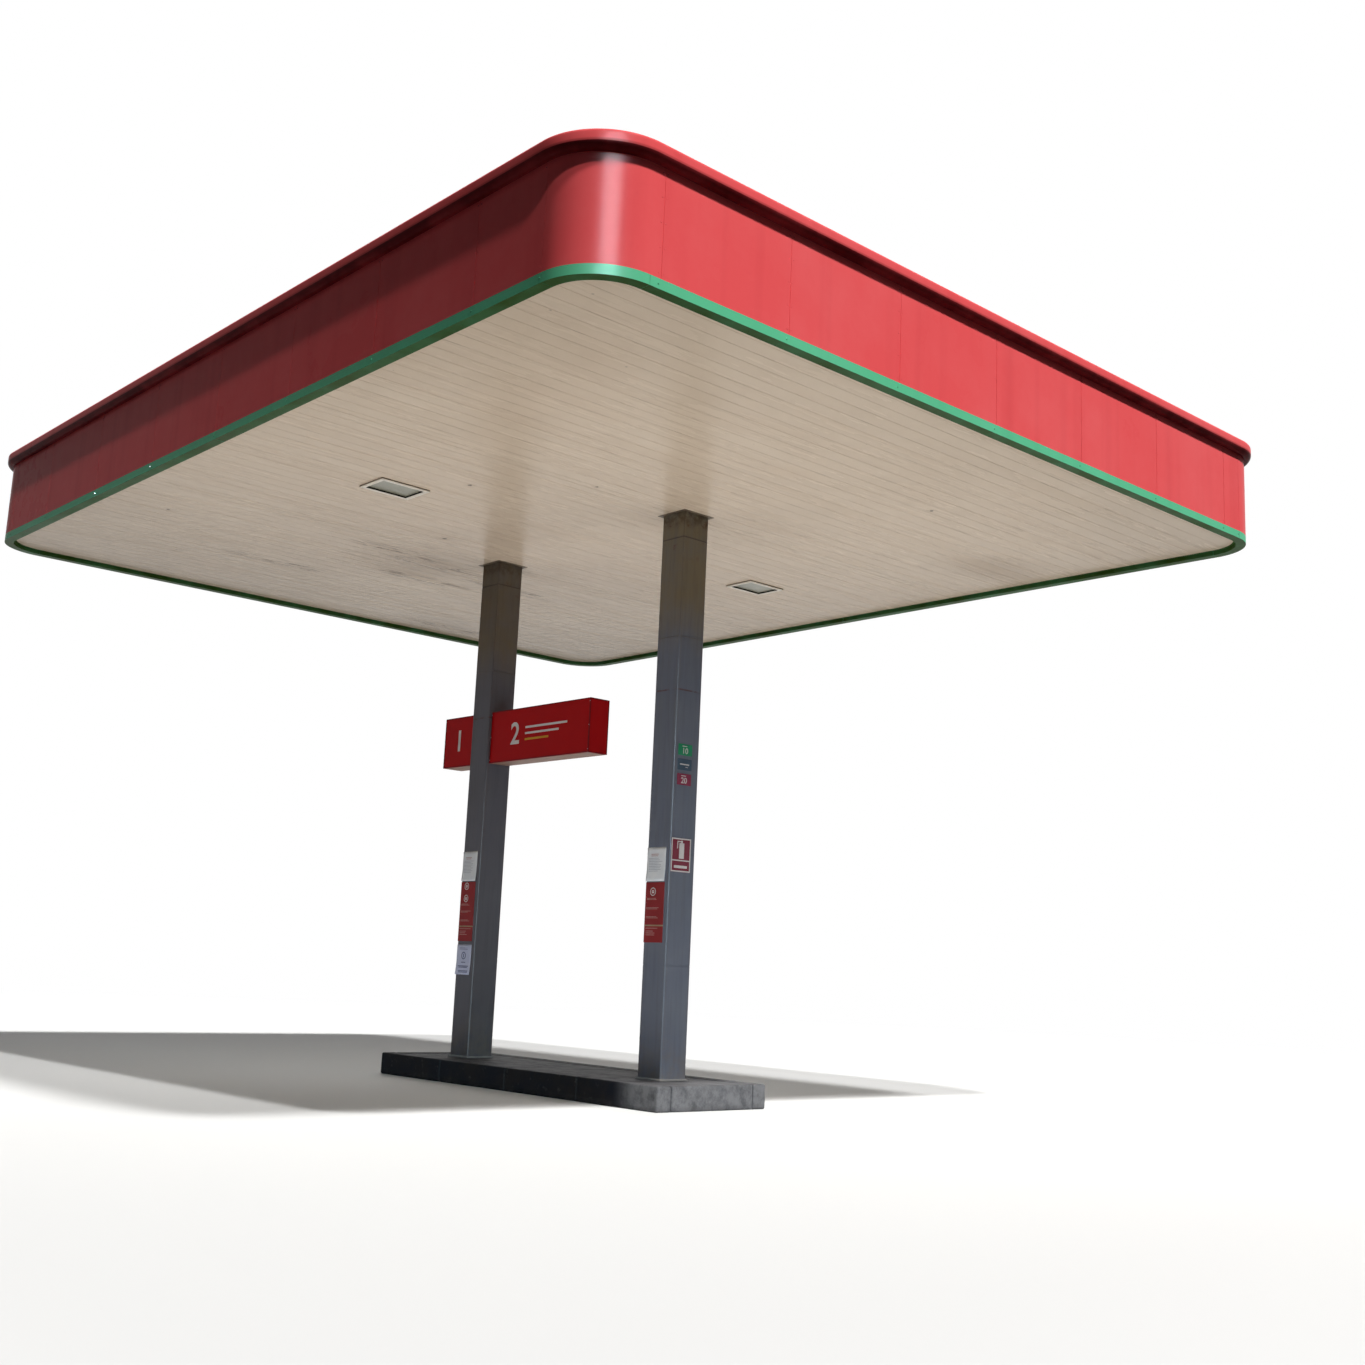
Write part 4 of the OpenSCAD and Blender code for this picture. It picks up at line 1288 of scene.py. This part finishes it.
def makeIsland(values):
    low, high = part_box("island_kerb")
    whole, kerb, half = bmesh.new(), values["kerb"], values["gap"] / 2
    count = round((high.x - low.x) / values["unit"])
    step = (high.x - low.x) / count
    inner, outer = low.y + kerb, high.y - kerb
    units = [(low.x + index * step, start, low.x + (index + 1) * step, end)
             for index in range(count) for start, end in ((low.y, inner), (outer, high.y))]
    units += [(start, inner, end, outer) for start, end in ((low.x, low.x + kerb), (high.x - kerb, high.x))]
    for unit in units:
        # half a gap on each side that isn't the island's own
        edges = []
        for place, inwards, limit in zip(unit, (1, 1, -1, -1), (high.x, high.y) * 2):
            edges.append(place if abs(abs(place) - limit) < 0.001 else place + inwards * half)
        bm = bmesh.new()
        addBox(bm, (*edges[:2], low.z), (*edges[2:], high.z), values["bevel"], 3)
        roughen(bm, values)
        mesh = bpy.data.meshes.new("unit")
        bm.to_mesh(mesh)
        bm.free()
        whole.from_mesh(mesh)
        bpy.data.meshes.remove(mesh)
    core, fill = values["coreIn"], kerb + half
    addBox(whole, (low.x + core, low.y + core, low.z + values["coreLift"]),
           (high.x - core, high.y - core, high.z - values["bevel"]))
    addBox(whole, (low.x + fill, low.y + fill, low.z + values["fillLift"]),
           (high.x - fill, high.y - fill, high.z - values["fillDrop"]), values["fillBevel"])
    for vert in whole.verts:
        vert.co.z = max(vert.co.z, low.z)
    island = meshPiece("island_units", whole, islandDark)
    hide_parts("island_kerb")


makeIsland(islandSet)
print("island ready")


# Ceiling lights: a dark ring in the shadow gap as painted shade, a black sheet on the recess walls inside the
# frame, and screws

housingSet = {
    "length": 0.400,
    "rim": 0.040,
    "gap": 0.005,
    "flange": 0.006,
    "gasket": 0.003,
    "lining": 0.002,
    "lip": 0.001,
    "screw": (0.0045, 0.002),
}


def dressLights(values):
    gapShades, recessDarks, screws = bmesh.new(), bmesh.new(), bmesh.new()
    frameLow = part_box("light_frames")[0]
    lensLow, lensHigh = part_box("light_lenses")
    x = (lensLow.x + lensHigh.x) / 2
    width, length, rim = lensHigh.x - lensLow.x, values["length"], values["rim"]
    neck = 2 * (rim - values["gap"] + values["gasket"])
    over, start = frameLow.z + values["flange"], frameLow.z + values["lip"]
    for sign in (-1, 1):
        y = sign * (lensHigh.y - length / 2)
        # a dark ring round the frame's neck in the shadow gap: painted shade
        addFrame(gapShades, shift(x, y, over), width + neck, length + neck, values["gasket"],
                 canopy["ceiling"] - over)
        # a thin black sheet that makes the recess walls inside the frame dark
        addFrame(recessDarks, shift(x, y, start), width, length, values["lining"], lensLow.z - start)
        for across in (-1, 1):
            for end in (-1, 1):
                corner = shift(x + across * (width + rim) / 2, y + end * (length + rim) / 2, frameLow.z)
                addDome(screws, corner @ turned("X", 180), *values["screw"])
    meshPiece("light_gaskets", gapShades, prints["gasketBrown"])
    meshPiece("light_linings", recessDarks, prints["liningBlack"])
    meshPiece("light_screws", screws, screwZinc, smooth=True)


dressLights(housingSet)
print("lights ready")


# Roof: screws along the purlins, flashings at the edge, straps and grates in the gutter

roofSet = {
    "fall": 1.5,
    "sheet": 0.003,
    "ribPitch": 0.250,
    "ribHeight": 0.035,
    "purlins": (0.210, 1.265, 2.320, 3.375),
    "screw": (0.009, 0.0055, 0.007),
    "flashUp": 0.090,
    "flashOut": 0.080,
    "flashIn": 0.001,
    "flashThick": 0.002,
    "flashPast": 0.075,
    "strapPitch": 1.04,
    "strapHalf": 0.015,
    "strapGap": 0.002,
    "strapThick": 0.004,
    "strapBevel": 0.001,
    "outletInset": 0.125,
    "grateHalf": 0.058,
    "grateBars": 7,
    "grateStart": 0.012,
    "gratePitch": 0.009,
    "grateBar": 0.004,
    "grateLow": 0.003,
    "grateHigh": 0.009,
}


def dressRoof(values):
    screws, flashing, gutter = bmesh.new(), bmesh.new(), bmesh.new()
    low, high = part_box("roof_deck_back")
    slope, over = math.tan(math.radians(values["fall"])), values["ribHeight"] + values["sheet"]
    thick, up = values["flashThick"], values["flashUp"]
    straight, run = (edge - canopy["cornerRadius"] + values["flashPast"] for edge in (high.x, high.y))
    count = math.ceil(2 * high.x / values["ribPitch"])
    for sign in (-1, 1):
        lean = turned("X", values["fall"] * sign)
        for y in values["purlins"]:
            z = low.z + (y - low.y) * slope + values["sheet"]
            for index in range(1, count):
                x = (index - count / 2) * values["ribPitch"]
                addScrew(screws, shift(x, sign * y, z) @ lean, *values["screw"])
        # flashings along the high edge and up the two slopes
        z = low.z + (high.y - low.y) * slope + over
        inner, outer = (sign * (high.y - values[key]) for key in ("flashOut", "flashIn"))
        addBox(flashing, (-straight, inner, z), (straight, outer, z + thick))
        addBox(flashing, (-straight, outer - thick / 2, z), (straight, outer + thick / 2, z + up))
        for end in (-1, 1):
            base = shift(end * (high.x - values["flashIn"]), sign * low.y, low.z + over) @ lean
            stop = sign * (run - low.y)
            addBox(flashing, (-end * values["flashOut"], 0, 0), (0, stop, thick), place=base)
            addBox(flashing, (-thick, 0, 0), (0, stop, up), place=base)
    # straps across the gutter and a grate over each outlet
    start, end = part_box("gutter")
    half, gap = values["strapHalf"], values["strapGap"]
    for x in evenPlaces(start.x, end.x, values["strapPitch"]):
        addBox(gutter, (x - half, start.y + gap, end.z - gap - values["strapThick"]),
               (x + half, end.y - gap, end.z - gap), values["strapBevel"])
    half = values["grateHalf"]
    for sign in (-1, 1):
        x = sign * (canopy["columnX"] - values["outletInset"])
        for bar in range(values["grateBars"]):
            y = start.y + values["grateStart"] + bar * values["gratePitch"]
            addBox(gutter, (x - half, y, start.z + values["grateLow"]),
                   (x + half, y + values["grateBar"], start.z + values["grateHigh"]))
    meshPiece("roof_screws", screws, screwZinc)
    meshPiece("roof_flashings", flashing, galvanised)
    meshPiece("gutter_straps", gutter, galvanised)


dressRoof(roofSet)
print("roof ready")


# Camera, floor and light

cameraSet = {
    "place": (11.2884, -8.9153, 1.0828),
    "turn": 47.908,  # degrees from +Y towards -X
    "tilt": 10.481,
    "roll": -2.499,
    "focalPixels": 1561.7,
    "framePixels": 1365.0,
    "sensor": 36.0,
}


def placeCamera(values):
    turn, tilt, roll = (math.radians(values[key]) for key in ("turn", "tilt", "roll"))
    forward = Vector((-math.sin(turn) * math.cos(tilt), math.cos(turn) * math.cos(tilt), math.sin(tilt)))
    level = Vector((math.cos(turn), math.sin(turn), 0))
    down = forward.cross(level)
    across = level * math.cos(roll) + down * math.sin(roll)
    up = level * math.sin(roll) - down * math.cos(roll)
    camera = addObject("photoCamera", bpy.data.cameras.new("photoCamera"), sensor_width=values["sensor"],
                       lens=values["focalPixels"] / values["framePixels"] * values["sensor"], clip_end=500)
    camera.matrix_world = shift(*values["place"]) @ Matrix((across, up, -forward)).transposed().to_4x4()
    bpy.context.scene.camera = camera


floorSet = {
    "half": 150.0,
    "colour": (0.72, 0.72, 0.71),
    "away": (0.02, 0.02, 0.02),  # what the floor far out throws back at the object
    "awayFrom": 4.0,
    "awayTo": 7.0,
    "fadeFrom": 9.0,
    "fadeTo": 26.0,
    "roughness": 0.9,
    "specular": 0.1,
}


def seenRays(tree):
    # 1 for what the camera, a gloss or a glass sees, and 0 for the light that falls on the object
    rays = addNode(tree, "LightPath").outputs
    seen = mathNode(tree, "MAXIMUM", rays["Is Camera Ray"], rays["Is Glossy Ray"])
    return mathNode(tree, "MAXIMUM", seen, rays["Is Transmission Ray"])


def mixShader(tree, share, first, second):
    return addNode(tree, "MixShader", share, first.outputs[0], second.outputs[0]).outputs[0]


def placeFloor(values):
    # a pale floor that turns white with distance, for what the camera and glossy rays see
    bm, mesh = bmesh.new(), bpy.data.meshes.new("floor")
    bmesh.ops.create_grid(bm, x_segments=8, y_segments=8, size=values["half"])
    bm.to_mesh(mesh)
    bm.free()
    material, tree, skin = newMaterial("paleFloor")
    reach = addNode(tree, "VectorMath", objectPlace(tree), operation="LENGTH").outputs["Value"]
    away = product(tree, rampMask(tree, reach, values["awayFrom"], values["awayTo"]),
                   mathNode(tree, "SUBTRACT", 1.0, seenRays(tree)))
    setSkin(tree, skin, Base_Color=mixColour(tree, away, values["colour"], values["away"]),
            Roughness=values["roughness"], Specular_IOR_Level=values["specular"])
    far = product(tree, rampMask(tree, reach, values["fadeFrom"], values["fadeTo"]), seenRays(tree))
    surface = skin.outputs[0].links[0].to_socket
    feed(tree, surface, mixShader(tree, far, skin, addNode(tree, "Emission", Strength=1.0)))
    mesh.materials.append(material)
    addObject("floor", mesh)


lightSet = {
    "world": 0.010,
    "suns": {  # degrees from +X towards +Y, height above the ground, power and size of the disc
        "keySun": (-13.4, 55.0, 1.8, 2.0),
        "sideSun": (5.0, 55.0, 2.85, 5.0),
        "backSun": (135.0, 30.0, 1.1, 40.0),
    },
    "shineTurn": -31.0,
    "shineHeight": 27.0,
    "shineAway": 8.0,
    "shineRadius": 4.8,
    "shinePower": 345000.0,
    "shineColour": (0.66, 0.88, 1.0),
    "shineCone": 28.0,
    "shineBlend": 0.4,
    "raised": (1.6, -1.4, 0.03),
    "raisedPast": 1.4,
    "raisedPower": 224.0,
}


def addLamp(name, kind, place, **settings):
    lamp = addObject(name, bpy.data.lights.new(name, kind), **settings)
    lamp.matrix_world = place
    return lamp


def towardsLamp(turn, height):
    # the direction of a lamp, and the turn that makes it look back along it
    turn, height = math.radians(turn), math.radians(height)
    towards = Vector((math.cos(height) * math.cos(turn), math.cos(height) * math.sin(turn), math.sin(height)))
    return towards, towards.to_track_quat("Z", "Y").to_matrix().to_4x4()


def placeShine(values):
    # a spot that only gives the near corner of the fascia its gloss
    towards, turn = towardsLamp(values["shineTurn"], values["shineHeight"])
    inset = canopy["cornerRadius"] * (1 - math.sqrt(0.5))
    corner = Vector((canopy["halfLength"] - inset, inset - canopy["halfWidth"],
                     (canopy["bandBottom"] + canopy["fasciaTop"]) / 2))
    place = shift(*(corner + towards * values["shineAway"])) @ turn
    lamp = addLamp("cornerShine", "SPOT", place, energy=values["shinePower"], color=values["shineColour"],
                   shadow_soft_size=values["shineRadius"], spot_size=math.radians(values["shineCone"]),
                   spot_blend=values["shineBlend"])
    lamp.visible_diffuse = False


def placeFloorGlow(values):
    # light that a sunny forecourt throws up at the ceiling
    long, wide = (2 * (canopy[key] + values["raisedPast"]) for key in ("halfLength", "halfWidth"))
    lamp = addLamp("floorGlow", "AREA", shift(*values["raised"]) @ turned("X", 180), shape="RECTANGLE",
                   size=long, size_y=wide, energy=values["raisedPower"])
    for rays in ("camera", "glossy", "transmission"):
        setattr(lamp, "visible_" + rays, False)


def placeLights(values):
    world = bpy.data.worlds.new("studio")
    bpy.context.scene.world = world
    world.use_nodes = True
    tree = world.node_tree
    tree.nodes.clear()
    soft, white = (addNode(tree, "Background", (1, 1, 1), strength) for strength in (values["world"], 1.0))
    addNode(tree, "OutputWorld", mixShader(tree, seenRays(tree), soft, white))
    for name, (turn, height, power, angle) in values["suns"].items():
        addLamp(name, "SUN", towardsLamp(turn, height)[1], energy=power, angle=math.radians(angle))
    placeShine(values)
    placeFloorGlow(values)


placeCamera(cameraSet)
placeFloor(floorSet)
placeLights(lightSet)
bpy.context.scene.view_settings.view_transform = "Standard"
print("camera, floor and lights ready")
